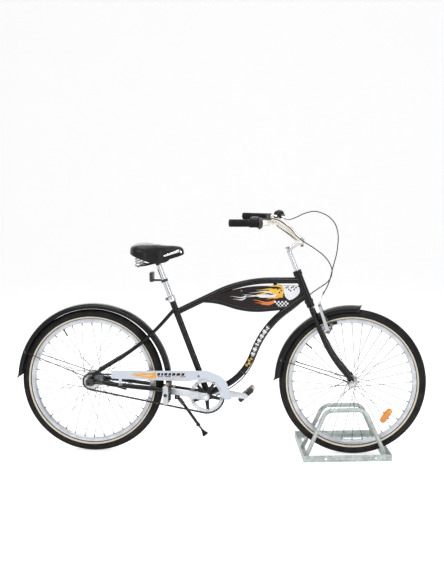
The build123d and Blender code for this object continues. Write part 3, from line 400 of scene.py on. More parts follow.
makeCamera()
makeStudio()
materials = makeMaterials()
print("camera, studio and materials made")


# Mesh builders. They take mm: X forward of the rear axle, Y to the rider's left, Z up.
def onCircle(centre, radius, angle, y=None):
    # A point of a circle as (x, z), or in space where y is given
    x, z = centre[0] + radius * cos(angle), centre[1] + radius * sin(angle)
    return Vector((x, z)) if y is None else Vector((x, y, z))


def skin(bm, rings, finish=0, around=True, caps=True, loop=False):
    rows = [[bm.verts.new(p) for p in ring] for ring in rings]
    count = len(rows[0])
    pairs = list(zip(rows, rows[1:] + rows[:1])) if loop else list(zip(rows, rows[1:]))
    made = []
    for a, b in pairs:
        made.append([bm.faces.new((a[i], a[(i + 1) % count], b[(i + 1) % count], b[i]))
                     for i in range(count if around else count - 1)])
    for row in made:
        for face in row:
            face.material_index = finish
    if caps and around and not loop:
        for ring in (rows[0][::-1], rows[-1]):
            bm.faces.new(ring).material_index = finish
    return made


def circle(centre, axis, radius, sides, turn=0.0):
    axis = Vector(axis).normalized()
    side = Vector((0, 1, 0)) if abs(axis.y) < 0.9 else Vector((1, 0, 0))
    side = (side - axis * side.dot(axis)).normalized()
    other = axis.cross(side)
    turns = [turn + 2 * pi * i / sides for i in range(sides)]
    return [Vector(centre) + (side * cos(a) + other * sin(a)) * radius for a in turns]


def spin(bm, centre, axis, profile, sides=32, finish=0, loop=False):
    # profile rows are (distance along the axis, radius)
    way = Vector(axis).normalized()
    rings = [circle(Vector(centre) + way * d, way, r, sides) for d, r in profile]
    return skin(bm, rings, finish, loop=loop)


def tube(bm, path, radius, sides=12, finish=0, squeeze=1.0):
    # squeeze flattens the section along Z; radius may be a function of the share of the path
    path = [Vector(p) for p in path]
    rings = []
    frameSide = None
    for i, p in enumerate(path):
        way = (path[min(i + 1, len(path) - 1)] - path[max(i - 1, 0)]).normalized()
        if frameSide is None:
            frameSide = way.orthogonal().normalized()
        frameSide = (frameSide - way * frameSide.dot(way)).normalized()
        other = way.cross(frameSide)
        r = radius(i / (len(path) - 1)) if callable(radius) else radius
        ring = []
        for k in range(sides):
            turn = 2 * pi * k / sides
            out = (frameSide * cos(turn) + other * sin(turn)) * r
            ring.append(p + Vector((out.x, out.y, out.z * squeeze)))
        rings.append(ring)
    return skin(bm, rings, finish)


def rounded(points, radii, step=5.0):
    # Straight runs joined by tangent arcs, as a bent tube runs
    path = [Vector(points[0])]
    for a, b, c, r in zip(points, points[1:], points[2:], radii):
        a, b, c = Vector(a), Vector(b), Vector(c)
        into, out = (b - a).normalized(), (c - b).normalized()
        turn = into.angle(out)
        side = (out - into * out.dot(into)).normalized()
        first = b - into * (r * tan(turn / 2))
        count = max(3, int(r * turn / step))
        path += [first + side * (r * (1 - cos(turn * i / count))) + into * (r * sin(turn * i / count))
                 for i in range(count + 1)]
    return path + [Vector(points[-1])]


def curved(points, steps=8, closed=False):
    # A smooth line through every point
    pts = [Vector(p) for p in points]
    count = len(pts)
    line = []
    for i in range(count if closed else count - 1):
        if closed:
            a, b, c, d = (pts[(i + k) % count] for k in (-1, 0, 1, 2))
        else:
            a, b, c, d = pts[max(i - 1, 0)], pts[i], pts[i + 1], pts[min(i + 2, count - 1)]
        for k in range(steps):
            t = k / steps
            line.append(0.5 * ((2 * b) + (c - a) * t + (2 * a - 5 * b + 4 * c - d) * t * t
                               + (3 * b - a - 3 * c + d) * t * t * t))
    return line if closed else line + [pts[-1]]


def prism(bm, outline, yLow, yHigh, finish=0):
    return skin(bm, [[Vector((x, yLow, z)) for x, z in outline], [Vector((x, yHigh, z)) for x, z in outline]],
                finish)


def block(bm, centre, size, finish=0, turn=None):
    half = Vector(size) / 2
    matrix = turn or Matrix.Identity(3)
    rings = [[Vector(centre) + matrix @ Vector((sx * half.x, sy * half.y, sz * half.z))
              for sx, sy in ((-1, -1), (1, -1), (1, 1), (-1, 1))] for sz in (-1, 1)]
    return skin(bm, rings, finish)


def discPair(a, b, radiusA, radiusB, steps=12):
    # Outline of two discs joined by the lines that touch both, as (x, z) rows
    way = atan2(b[1] - a[1], b[0] - a[0])
    side = acos((radiusA - radiusB) / hypot(b[0] - a[0], b[1] - a[1]))
    rows = []
    for centre, r, low, high in ((a, radiusA, way + side, way - side + 2 * pi),
                                 (b, radiusB, way - side, way + side)):
        rows += [(centre[0] + r * cos(low + (high - low) * i / steps),
                  centre[1] + r * sin(low + (high - low) * i / steps))
                 for i in range(steps + 1)]
    return rows


def hexNut(bm, centre, axis, radius, height, finish=0):
    spin(bm, centre, axis,
         [(0, radius * 0.93), (0.5, radius), (height - 0.6, radius), (height, radius * 0.88)], 6, finish)


def boltHead(bm, centre, axis, radius, height, finish=0):
    # A washer, a hexagon and the end of the thread
    way = Vector(axis).normalized()
    spin(bm, centre, way, [(0, radius * 1.35), (0.8, radius * 1.35)], 24, finish)
    hexNut(bm, Vector(centre) + way * 0.8, way, radius, height, finish)
    spin(bm, Vector(centre) + way * (height + 0.8), way,
         [(0, radius * 0.5), (1.6, radius * 0.5), (2.2, radius * 0.38)], 16, finish)


def makePiece(name, bm, body, finishNames, bevel=0.0, smooth=34.0, stands=()):
    bmesh.ops.recalc_face_normals(bm, faces=bm.faces[:])
    mesh = bpy.data.meshes.new(name)
    bm.to_mesh(mesh)
    bm.free()
    mesh.transform(Matrix.Translation((axleX, 0, 0)) @ Matrix.Scale(mm, 4))
    for finish in finishNames:
        mesh.materials.append(materials[finish])
    mesh.shade_smooth()
    mesh.set_sharp_from_angle(angle=radians(smooth))
    piece = bpy.data.objects.new(name, mesh)
    scene.collection.objects.link(piece)
    if bevel:
        edge = piece.modifiers.new("softEdge", "BEVEL")
        edge.width = bevel * mm
        edge.segments = 2
        edge.limit_method = "ANGLE"
        edge.angle_limit = radians(35)
        edge.harden_normals = True
    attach(piece, body)
    if stands:
        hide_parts(*stands)
    return piece


# Floor and backdrop in one sweep
def makeFloor():
    bm = bmesh.new()
    half, front, rear, rise = 16000.0, -9000.0, 9500.0, 9000.0
    line = rounded([(0, front, -0.6), (0, rear, -0.6), (0, rear + 10, rise)], [2500.0], 200.0)
    skin(bm, [[Vector((-half, p.y, p.z)) for p in line], [Vector((half, p.y, p.z)) for p in line]],
         around=False, caps=False)
    mesh = bpy.data.meshes.new("studioFloor")
    bm.to_mesh(mesh)
    bm.free()
    mesh.transform(Matrix.Scale(mm, 4))
    mesh.shade_smooth()
    floorMaterial = bpy.data.materials.new("studioFloor")
    floorMaterial.use_nodes = True
    tree = floorMaterial.node_tree
    shader = tree.nodes["Principled BSDF"]
    spot = addNode(tree, "ShaderNodeTexCoord")
    noise = addNode(tree, "ShaderNodeTexNoise")
    noise.inputs["Scale"].default_value = 1.4
    tree.links.new(spot.outputs["Object"], noise.inputs["Vector"])
    level = studio["floorTone"]
    tree.links.new(mixColour(tree, noise.outputs["Fac"], (level, level, level * 1.01, 1),
                             (level * 0.97, level * 0.975, level * 0.99, 1)),
                   shader.inputs["Base Color"])
    shader.inputs["Roughness"].default_value = 0.8
    shader.inputs["Emission Color"].default_value = (1.0, 1.0, 1.0, 1.0)
    seen = seenMask(tree, addNode(tree, "ShaderNodeLightPath"))
    tree.links.new(mathNode(tree, "MULTIPLY", seen, studio["floorGlow"]), shader.inputs["Emission Strength"])
    mesh.materials.append(floorMaterial)
    floor = bpy.data.objects.new("studioFloor", mesh)
    scene.collection.objects.link(floor)


makeFloor()


# Wheels
tyre = {"width": 50.0, "creamLow": 290.6, "creamHigh": 297.6, "tread": 1.6, "treadHalf": 64.0,
        "rows": 9, "blocks": 170, "steps": 160, "reach": 134.8,
        "profileSteps": 60}  # reach: degrees from the crown to the bead


def makeTyre(name, x, body, node):
    half = tyre["width"] / 2
    centre = axleZ - half
    bm = bmesh.new()
    profile = []
    for i in range(tyre["profileSteps"] + 1):
        angle = -tyre["reach"] + 2 * tyre["reach"] * i / tyre["profileSteps"]
        fall = tyre["tread"] * min(1.0, max(0.0, (tyre["treadHalf"] + 5 - abs(angle)) / 8))
        a = radians(angle)
        profile.append(((half - fall) * sin(a), centre + (half - fall) * cos(a)))
    rows = spin(bm, (x, 0, axleZ), (0, 1, 0), profile, tyre["steps"], loop=True)
    for row, (a, b) in zip(rows, zip(profile, profile[1:] + profile[:1])):
        middle = (a[1] + b[1]) / 2
        cream = tyre["creamLow"] < middle < tyre["creamHigh"]
        for face in row:
            face.material_index = 1 if cream else 2 if middle <= tyre["creamLow"] else 0
    rowAngle = radians(2 * tyre["treadHalf"] / tyre["rows"])
    pitch = 2 * pi / tyre["blocks"]
    for k in range(tyre["rows"]):
        across = (k - (tyre["rows"] - 1) / 2) * rowAngle
        for i in range(tyre["blocks"]):
            along = (i + 0.5 * (k % 2)) * pitch
            rings = []
            for depth, share in ((half - tyre["tread"] - 0.3, 0.42), (half, 0.35)):
                ring = []
                for u, v in ((-1, -1), (1, -1), (1, 1), (-1, 1)):
                    theta = across + u * share * rowAngle
                    r = centre + depth * cos(theta)
                    phi = along + v * share * pitch
                    ring.append(Vector((x + r * cos(phi), depth * sin(theta), axleZ + r * sin(phi))))
                rings.append(ring)
            skin(bm, rings, 0)
    makePiece(name, bm, body, ["rubber", "cream", "bead"], stands=[node])


rim = {"outer": 287.0, "inner": 268.0, "half": 15.5, "nipples": 36, "valveLength": 33.0}


def makeRim(name, x, body, node, valveAngle):
    outer, inner, half = rim["outer"], rim["inner"], rim["half"]
    bm = bmesh.new()
    side = [(half, outer), (half, outer - 2.5), (half - 0.7, outer - 3.4), (half - 0.7, outer - 12),
            (half - 1.4, inner + 3.4), (half - 6.5, inner)]
    inside = [(half - 7, inner + 2), (half - 3, inner + 8), (half - 2.2, outer - 4), (half - 2.6, outer)]
    profile = side + [(-y, r) for y, r in reversed(side)] + [(-y, r) for y, r in inside] + inside[::-1]
    spin(bm, (x, 0, axleZ), (0, 1, 0), profile, 180, 0, loop=True)
    for i in range(rim["nipples"]):
        a = radians(i * 360 / rim["nipples"])
        out = Vector((cos(a), 0, sin(a)))
        seat = Vector((x, 3.0 if i % 2 == 0 else -3.0, axleZ)) + out * (inner + 0.4)
        spin(bm, seat, -out, [(0, 4.0), (0.8, 3.6), (1.0, 2.3), (5.5, 2.1), (10.5, 1.7), (11.5, 1.3)], 12, 1)
    a = radians(valveAngle)
    out = Vector((cos(a), 0, sin(a)))
    spin(bm, Vector((x, 0, axleZ)) + out * inner, -out,
         [(0, 5.2), (2.0, 4.8), (2.2, 3.2), (16, 3.0), (16.2, 2.4), (19, 2.4), (19.2, 3.6),
          (rim["valveLength"] - 2, 3.5), (rim["valveLength"], 2.2)], 16, 2)
    makePiece(name, bm, body, ["alloy", "steel", "rubber"], stands=[node])


makeTyre("frontTyreTread", wheelbase, "front_wheel", "front_tyre")
makeTyre("rearTyreTread", 0.0, "rear_wheel", "rear_tyre")
makeRim("frontRimBand", wheelbase, "front_wheel", "front_rim", 140.0)
makeRim("rearRimBand", 0.0, "rear_wheel", "rear_rim", 119.6)
print("wheels made")


# Chain, chainring and sprocket
chain = {"y": -46.0, "pitch": 12.7, "ringTeeth": 40, "sprocketTeeth": 18, "plateRadius": 4.1, "waist": 3.1,
         "innerY": (1.9, 2.6), "outerY": (2.8, 3.4), "rollerRadius": 3.9, "pinRadius": 1.9, "pinHalf": 3.6}
ringRadius = chain["pitch"] / 2 / sin(pi / chain["ringTeeth"])
sprocketRadius = chain["pitch"] / 2 / sin(pi / chain["sprocketTeeth"])


def chainPath():
    # Returns the loop's length and a function that gives the point at a distance along it
    a, b = (crankX, crankZ), (0.0, axleZ)
    way = atan2(b[1] - a[1], b[0] - a[0])
    span = hypot(b[0] - a[0], b[1] - a[1])
    side = acos((ringRadius - sprocketRadius) / span)
    run = span * sin(side)
    arcA, arcB = ringRadius * (2 * pi - 2 * side), sprocketRadius * 2 * side

    def pointAt(s):
        s = s % (arcA + run + arcB + run)
        if s < arcA:
            t = way + side + s / ringRadius
            return onCircle(a, ringRadius, t)
        s -= arcA
        t = way - side
        if s < run:
            p = onCircle(a, ringRadius, t)
            q = onCircle(b, sprocketRadius, t)
            return p.lerp(q, s / run)
        s -= run
        if s < arcB:
            t = way - side + s / sprocketRadius
            return onCircle(b, sprocketRadius, t)
        t = way + side
        p = onCircle(b, sprocketRadius, t)
        q = onCircle(a, ringRadius, t)
        return p.lerp(q, (s - arcB) / run)

    return arcA + 2 * run + arcB, arcA + run, way + side, way - side, pointAt


loopLength, sprocketStart, ringWay, sprocketWay, loopPoint = chainPath()


def plateOutline(p, q):
    # A waisted chain plate from one pin to the next, as (x, z) rows
    way = atan2(q.y - p.y, q.x - p.x)
    rows = []
    for centre, start in ((q, -pi / 2), (p, pi / 2)):
        rows += [(centre.x + chain["plateRadius"] * cos(way + start + pi * i / 6),
                  centre.y + chain["plateRadius"] * sin(way + start + pi * i / 6)) for i in range(7)]
        lean = way + start + pi
        middle = (p + q) / 2
        rows.append((middle.x + chain["waist"] * cos(lean), middle.y + chain["waist"] * sin(lean)))
    return rows


def makeChain():
    bm = bmesh.new()
    count = 2 * round(loopLength / chain["pitch"] / 2)
    step = loopLength / count
    for i in range(count):
        p, q = loopPoint(i * step), loopPoint((i + 1) * step)
        low, high = chain["innerY"] if i % 2 == 0 else chain["outerY"]
        outline = plateOutline(p, q)
        for side in (-1, 1):
            prism(bm, outline, chain["y"] + side * low, chain["y"] + side * high)
        for radius, half, sides in ((chain["rollerRadius"], chain["innerY"][0], 12),
                                    (chain["pinRadius"], chain["pinHalf"], 8)):
            spin(bm, (p.x, chain["y"] - half, p.y), (0, 1, 0), [(0, radius), (2 * half, radius)], sides)
    makePiece("rollerChain", bm, "frame", ["chain"], stands=["chain"])
    return step


def toothedRing(bm, x, z, innerRadius, pitchRadius, teeth, firstTooth, half, finish):
    root, crest = pitchRadius - 4.4, pitchRadius + 2.6
    rows = []
    for i in range(teeth):
        middle = firstTooth + 2 * pi * i / teeth
        for share, r in ((-0.42, root), (-0.25, root + 1.2), (-0.10, crest), (0.10, crest),
                         (0.25, root + 1.2), (0.42, root)):
            a = middle + share * 2 * pi / teeth
            rows.append((a, r))
    outer = [[Vector((x + r * cos(a), y, z + r * sin(a))) for a, r in rows]
             for y in (chain["y"] - half, chain["y"] + half)]
    inner = [[Vector((x + innerRadius * cos(a), y, z + innerRadius * sin(a))) for a, r in rows]
             for y in (chain["y"] + half, chain["y"] - half)]
    skin(bm, outer + inner, finish, loop=True)


spider = {"arms": 5, "first": -85.0, "bolt": 66.0, "ringInner": 61.0, "ringOuter": 76.0, "armLow": -53.0,
          "armHigh": -47.7}


def makeChainring(step):
    bm = bmesh.new()
    firstTooth = ringWay + step / ringRadius / 2
    toothedRing(bm, crankX, crankZ, ringRadius - 8, ringRadius, chain["ringTeeth"], firstTooth, 0.9, 0)
    y = chain["y"]
    spin(bm, (crankX, y - 1.6, crankZ), (0, 1, 0),
         [(0, spider["ringInner"] + 1), (0, spider["ringOuter"] - 0.6), (0.6, spider["ringOuter"]),
          (2.6, spider["ringOuter"]), (3.2, spider["ringOuter"] - 0.6), (3.2, spider["ringInner"] + 1),
          (2.4, spider["ringInner"]), (0.8, spider["ringInner"])],
         120, 0, loop=True)
    for i in range(spider["arms"]):
        a = radians(spider["first"] + i * 360 / spider["arms"])
        out, side = Vector((cos(a), sin(a))), Vector((-sin(a), cos(a)))
        hub = Vector((crankX, crankZ))
        root, tip = hub + out * 15, hub + out * (spider["bolt"] + 1)
        arm = [root - side * 10, tip - side * 6.0, tip + out * 4.5 - side * 3.5, tip + out * 4.5 + side * 3.5,
               tip + side * 6.0, root + side * 10]
        prism(bm, [(p.x, p.y) for p in arm], spider["armLow"] + 2.4, spider["armHigh"], 1)
        for sign in (-1, 1):
            rib = [root + side * sign * 9.4, tip + side * sign * 5.4, tip + side * sign * 3.2,
                   root + side * sign * 6.0]
            prism(bm, [(p.x, p.y) for p in rib], spider["armLow"], spider["armLow"] + 2.6, 1)
        bolt = hub + out * spider["bolt"]
        spin(bm, (bolt.x, spider["armLow"] + 2.4, bolt.y), (0, -1, 0), [(0, 4.2), (1.4, 4.2), (2.2, 3.4)], 16,
             2)
    spin(bm, (crankX, spider["armLow"] - 1.0, crankZ), (0, 1, 0),
         [(0, 20), (1, 21.5), (6.2, 21.5), (7.2, 20)], 48, 1)
    spin(bm, (crankX, -70.5, crankZ), (0, 1, 0), [(0, 15), (17.0, 17.5)], 40, 2)
    makePiece("chainringSpider", bm, "crank", ["alloy", "satin", "chrome"],
              stands=["chainring"], bevel=0.25)


def makeSprocket(step):
    bm = bmesh.new()
    first = sprocketWay + (step - sprocketStart % step) / sprocketRadius + step / sprocketRadius / 2
    toothedRing(bm, 0, axleZ, 20.0, sprocketRadius, chain["sprocketTeeth"], first, 1.0, 0)
    y = chain["y"]
    spin(bm, (0, y - 3.0, axleZ), (0, 1, 0),
         [(0, 16), (0, 20), (1.6, 21.5), (4.6, 21.5), (5.0, 18), (9.6, 18), (9.6, 6.0), (0, 6.0)], 48, 1,
         loop=True)
    makePiece("driverSprocket", bm, "sprocket", ["alloy", "steel"], stands=["sprocket"])


chainStep = makeChain()
makeChainring(chainStep)
makeSprocket(chainStep)


# Crank arms and pedals
crank = {"length": 169.0, "angle": 170.5, "inner": 71.0, "outer": 83.0, "hub": 17.0, "eye": 12.0}
pedal = {"gap": 14.0, "width": 94.0, "length": 84.0, "thick": 26.0, "teeth": 7}


def makeCrankArm(side):
    bm = bmesh.new()
    a = radians(crank["angle"])
    eye = (crankX + side * crank["length"] * cos(a), crankZ + side * crank["length"] * sin(a))
    outline = discPair((crankX, crankZ), eye, crank["hub"], crank["eye"])
    low, high = (-crank["outer"], -crank["inner"]) if side > 0 else (crank["inner"], crank["outer"])
    prism(bm, outline, low, high, 0)
    out = Vector((0, -side, 0))
    hub = Vector((crankX, -side * crank["outer"], crankZ))
    spin(bm, hub, out, [(0, 11.5), (0.8, 11.5), (1.4, 10.6), (1.6, 6.5), (0.6, 6.2)], 32, 1)
    eyePoint = Vector((eye[0], -side * crank["outer"], eye[1]))
    spin(bm, eyePoint, out, [(0, 9.0), (3.0, 9.0), (3.4, 8.2), (pedal["gap"] - 1, 7.4)], 24, 1)
    hexNut(bm, eyePoint + out * 1.0, out, 9.6, 5.0, 1)
    name = "right" if side > 0 else "left"
    makePiece("crankArm_" + name, bm, "crank", ["alloy", "chrome"], bevel=1.6,
              stands=["crank_arm_" + name])


def makePedal(side, tilt, body, node):
    a = radians(crank["angle"]) + (0 if side > 0 else pi)
    x, z = crankX + crank["length"] * cos(a), crankZ + crank["length"] * sin(a)
    near = crank["outer"] + pedal["gap"]
    half, thick = pedal["length"] / 2, pedal["thick"] / 2
    bm = bmesh.new()

    def cheek(yLow, yHigh, finish):
        top = []
        teeth = pedal["teeth"]
        for i in range(teeth):
            u = -half + 8 + (pedal["length"] - 16) * i / (teeth - 1)
            top += [(u - 3.0, thick - 2.6), (u - 1.6, thick), (u + 1.6, thick), (u + 3.0, thick - 2.6)]
        outline = [(-half, -thick * 0.5), (-half, thick * 0.5)] + top + [(half, thick * 0.5),
                                                                         (half, -thick * 0.5)]
        outline += [(u, -w) for u, w in reversed(top)]
        prism(bm, outline, yLow, yHigh, finish)

    cheek(near, near + 9, 0)
    cheek(near + pedal["width"] - 9, near + pedal["width"], 2)
    for u in (-1, 1):
        block(bm, (u * (half - 5), near + pedal["width"] / 2, 0),
              (9, pedal["width"] - 12, pedal["thick"] * 0.66), 0)
        block(bm, (u * (half - 0.2), near + pedal["width"] / 2, 0),
              (2.4, pedal["width"] * 0.56, pedal["thick"] * 0.44), 1)
        for w in (-1, 1):
            block(bm, (u * half * 0.42, near + pedal["width"] / 2, w * thick * 0.62),
                  (7, pedal["width"] - 12, 4), 0)
            for k in range(6):
                y = near + 16 + k * (pedal["width"] - 32) / 5
                spin(bm, (u * half * 0.42, y, w * thick * 0.78), (0, 0, w), [(0, 2.2), (2.4, 1.6)], 10, 0)
    spin(bm, (0, near + 0.4, 0), (0, 1, 0),
         [(0, 9.0), (4, 11.0), (pedal["width"] - 10, 10.0), (pedal["width"] - 1.5, 9.0),
          (pedal["width"] + 1.0, 7.5)], 28, 0)
    for k in range(3):
        y = near + 22 + k * (pedal["width"] - 44) / 2
        block(bm, (0, y, 0), (pedal["length"] - 12, 4, 12), 0)
    turn = Matrix.Translation((x, 0, z)) @ Matrix.Rotation(-radians(tilt), 4, "Y")
    bmesh.ops.transform(bm, matrix=turn @ Matrix.Scale(-side, 4, (0, 1, 0)), verts=bm.verts[:])
    makePiece("pedalCage_" + ("right" if side > 0 else "left"), bm, body,
              ["plastic", "amber", "alloy"], bevel=0.7, stands=[node])


for side, tilt, body in ((1, 90.0, "pedal_right"), (-1, 41.0, "pedal_left")):
    makeCrankArm(side)
    makePedal(side, tilt, body, body)
print("drive made")


# Handlebar fittings. Each is built for the right side, where Y is negative, and flipped where it sits on the
# left.
steer = {"rake": 46.0, "tilt": 21.4, "headLow": 700.0, "headHigh": 815.0, "stemBend": 930.0}
steerWay = Vector((-sin(radians(steer["tilt"])), 0, cos(radians(steer["tilt"]))))
barEnd, barTurn = Vector((677.0, -349.0, 1067.0)), Vector((836.0, -295.0, 1063.0))
barWay = (barEnd - barTurn).normalized()
outward = Vector((-barWay.y, barWay.x, 0)).normalized()


def steerPoint(height):
    tilt = radians(steer["tilt"])
    return Vector((wheelbase - steer["rake"] / cos(tilt) + (axleZ - height) * tan(tilt), 0, height))


def alongGrip(distance):
    return barEnd - barWay * distance


def flipSide(bm):
    bmesh.ops.transform(bm, matrix=Matrix.Scale(-1, 4, (0, 1, 0)), verts=bm.verts[:])


def fluted(bm, centre, axis, rows, sides, finish=0):
    # rows are (distance, radius, depth); the depth is cut from every second pair of lengthwise strips
    way = Vector(axis).normalized()
    unit = circle((0, 0, 0), way, 1.0, sides)
    rings = [[Vector(centre) + way * d + u * (r - (depth if i % 4 < 2 else 0.0)) for i, u in enumerate(unit)]
             for d, r, depth in rows]
    return skin(bm, rings, finish)


def ball(bm, centre, radius, finish=0, sides=16):
    rows = [(-radius * cos(pi * i / 8), max(radius * sin(pi * i / 8), radius * 0.04)) for i in range(9)]
    spin(bm, centre, (0, 0, 1), rows, sides, finish)


def axisTurn(way):
    # A block turned so that its X runs along way, seen from above
    return Matrix.Rotation(atan2(way.y, way.x), 3, "Z")


grip = {"radius": 16.0, "rib": 5.0, "cut": 1.0, "cap": 3.0, "bar": 11.3}
controls = {"shifterAt": 86.3, "leverAt": 124.3,
            "bell": (854.0, 223.0, 1064.0)}  # mm inward from the bar's end, and a place


def makeGrip(name, length, left, node):
    bm = bmesh.new()
    r = grip["radius"]
    rows = [(-grip["cap"], 8.0, 0), (-grip["cap"] + 0.5, 13.4, 0), (-1.2, 15.6, 0), (1.0, r, 0), (5.0, r, 0)]
    d = 6.0
    while d < length - 10:
        rows += [(d, r - 0.1, 0), (d + 0.5, r - 0.1, grip["cut"]),
                 (d + grip["rib"] - 1.0, r - 0.1, grip["cut"]), (d + grip["rib"] - 0.5, r - 0.1, 0),
                 (d + grip["rib"] - 0.3, r - 1.1, 0)]
        d += grip["rib"]
    rows += [(length - 4, r + 0.6, 0), (length - 0.8, r + 0.6, 0), (length, r - 0.4, 0),
             (length, grip["bar"], 0)]
    fluted(bm, barEnd, -barWay, rows, 72)
    if left:
        flipSide(bm)
    makePiece(name, bm, "fork", ["rubber"], smooth=40, stands=[node])


def makeShifter():
    bm = bmesh.new()
    start = controls["shifterAt"]
    rows = [(0, 11.3, 0), (0, 17.6, 0), (1.0, 19.0, 0), (3.0, 19.0, 0), (3.6, 19.0, 1.5), (31.0, 19.0, 1.5),
            (31.6, 19.0, 0), (33.4, 18.6, 0), (34.0, 17.4, 0)]
    fluted(bm, alongGrip(start), -barWay, rows, 80, 1)
    spin(bm, alongGrip(start), -barWay,
         [(34.2, 20.6), (35.4, 23.0), (50.2, 23.0), (52.0, 21.4), (52.0, 11.3)], 48, 0)
    top = alongGrip(start + 24) + Vector((0, 0, 19.5))
    block(bm, top, (36, 21, 12), 0, axisTurn(barWay))
    block(bm, top + Vector((0, 0, 6.1)), (25, 12, 0.8), 2, axisTurn(barWay))
    spin(bm, top - barWay * 17 - Vector((0, 0, 2)), -barWay,
         [(0, 4.6), (6, 4.6), (6.6, 3.8), (12.5, 3.6), (13, 2.8)], 16, 0)
    boltHead(bm, alongGrip(start + 43) + Vector((0, 0, -23)), (0, 0, -1), 3.2, 2.4, 3)
    makePiece("shifterBody", bm, "fork",
              ["plastic", "rubber", "silverTrim", "steel"], bevel=0.8, stands=["twist_shifter"])


def makeBrakeLever():
    bm = bmesh.new()
    start = controls["leverAt"]
    spin(bm, alongGrip(start), -barWay, [(0, 11.3), (0, 15.8), (1, 17.0), (17, 17.0), (18, 15.8), (18, 11.3)],
         40, 0)
    root = alongGrip(start + 9)
    block(bm, root + outward * 17 - Vector((0, 0, 6)), (26, 16, 13), 0, axisTurn(barWay))
    line = curved([root + outward * 14 - Vector((0, 0, 6)),
                   root + outward * 36 - Vector((0, 0, 10)) - barWay * 3,
                   root + outward * 43 - Vector((0, 0, 12)) + barWay * 22,
                   root + outward * 42 - Vector((0, 0, 14)) + barWay * 60,
                   root + outward * 34 - Vector((0, 0, 16)) + barWay * 104], 10)
    tube(bm, line, lambda s: 6.4 - 2.2 * s, 16, 0, 0.72)
    ball(bm, line[-1], 5.4, 0)
    adjuster = root + outward * 17 - Vector((0, 0, 6))
    fluted(bm, adjuster - barWay * 12, -barWay,
           [(0, 3.2, 0), (0.6, 4.6, 0.5), (7.0, 4.6, 0.5), (7.6, 3.4, 0), (12.0, 3.4, 0)], 24, 1)
    boltHead(bm, root + outward * 27 + Vector((0, 0, 0.4)), (0, 0, 1), 3.4, 2.6, 1)
    boltHead(bm, root - outward * 16.6, -outward, 3.2, 2.6, 1)
    flipSide(bm)
    makePiece("brakeLeverBody", bm, "fork", ["plastic", "steel"], bevel=0.9,
              stands=["brake_lever"])


def makeBell():
    bm = bmesh.new()
    centre = Vector(controls["bell"])
    spin(bm, centre, (0, 0, 1),
         [(8, 8.0), (11, 9.0), (11.5, 21.5), (12.6, 24.2), (14, 25.0), (17, 25.0), (22, 24.0), (26.5, 21.6),
          (30.5, 17.4), (33.4, 11.6), (35.2, 5.2), (35.6, 0.6)], 56, 0)
    spin(bm, centre + Vector((0, 0, 35.2)), (0, 0, 1), [(0, 3.4), (0.6, 3.4), (0.9, 2.6)], 20, 1)
    spin(bm, centre, (0, 0, 1), [(-2, 9.5), (0, 10.0), (9, 10.0), (11, 8.5)], 28, 2)
    block(bm, centre + Vector((16, 17, 8)), (20, 7, 3.2), 2, Matrix.Rotation(radians(46), 3, "Z"))
    ball(bm, centre + Vector((24, 25, 9)), 4.2, 2)
    makePiece("bellDome", bm, "fork", ["gloss", "chrome", "plastic"], stands=["bell"])


def makeHeadset():
    bm = bmesh.new()
    base = steerPoint(steer["headHigh"]) + steerWay * 9.3
    spin(bm, base, steerWay,
         [(0, 12.7), (0, 19.0), (0.5, 19.8), (3.4, 19.8), (3.8, 18.4), (4.4, 18.4), (4.4, 12.7)], 48, 0)
    spin(bm, base, steerWay,
         [(4.6, 12.7), (4.6, 19.4), (5.2, 20.2), (10.8, 20.2), (11.6, 19.2), (12.0, 16.0), (12.0, 11.3)], 8,
         0)
    makePiece("headsetNuts", bm, "fork", ["satin"], bevel=0.4, stands=["headset_nut"])
    bm = bmesh.new()
    for at, way in ((steerPoint(steer["headHigh"]), steerWay), (steerPoint(steer["headLow"]), -steerWay)):
        spin(bm, at, way,
             [(-1.5, 17.2), (-1.5, 19.0), (-0.8, 20.3), (1.4, 20.6), (2.0, 20.2), (2.4, 19.7), (7.4, 20.6),
              (8.6, 20.6), (9.0, 20.1)], 56, 0)
    makePiece("headsetCups", bm, "frame", ["satin"])


def makeStemFittings():
    bm = bmesh.new()
    for side in (-1, 1):
        boltHead(bm, (968.0, side * 10.0, 949.0), (0, side, 0), 5.0, 4.2, 0)
        spin(bm, (962.0, side * 21.0, 968.0), (0, side, 0),
             [(-0.6, 17.4), (0.4, 17.4), (1.2, 16.4), (1.2, 11.4)], 40, 1)
    top = steerPoint(steer["stemBend"]) + steerWay * 10
    spin(bm, top, steerWay, [(-4, 9.4), (0.6, 9.2), (1.6, 8.2), (1.6, 5.2), (-2.0, 4.6)], 30, 0)
    makePiece("stemBolts", bm, "fork", ["steel", "chrome"])


makeGrip("gripRibs_right", 86.0, False, "grip_right")
makeGrip("gripRibs_left", 124.0, True, "grip_left")
makeShifter()
makeBrakeLever()
makeBell()
makeHeadset()
makeStemFittings()
print("handlebar fittings made")


# Saddle, springs, seat clamp and rear reflector
saddle = {"stations": [  # x, half width, top, skirt
    (194.3, 24, 932, 926), (195.4, 44, 942, 922), (198.5, 62, 950, 919), (206, 82, 956, 916),
    (222, 103, 961, 910), (246, 112, 963, 900), (272, 105, 961, 889), (298, 82, 958, 878),
    (318, 60, 956, 876), (340, 45, 953.5, 882), (365, 36, 951.5, 889), (392, 30.5, 950, 897),
    (412, 27, 946.5, 903), (424, 23, 940, 907.5), (430, 18, 933, 911), (432.6, 10, 925, 915)],
          "sideShape": 0.62, "topShape": 0.5, "wall": 8.0, "around": 36,
          "dip": 3.4, "dipHalf": 9.0, "dipFrom": 215, "dipTo": 330, "hem": 1.9, "stripDepth": 0.9,
          "strips": [  # steps, x and its run, low and high edge at both ends, cells across
              (24, 347, 68, (901.5, 922.5), (908.5, 935.0), 5),
              (6, 418.0, 8.5, (920.0, 917.0), (934.0, 924.0), 4)]}
saddleRows = curved(saddle["stations"], 5)


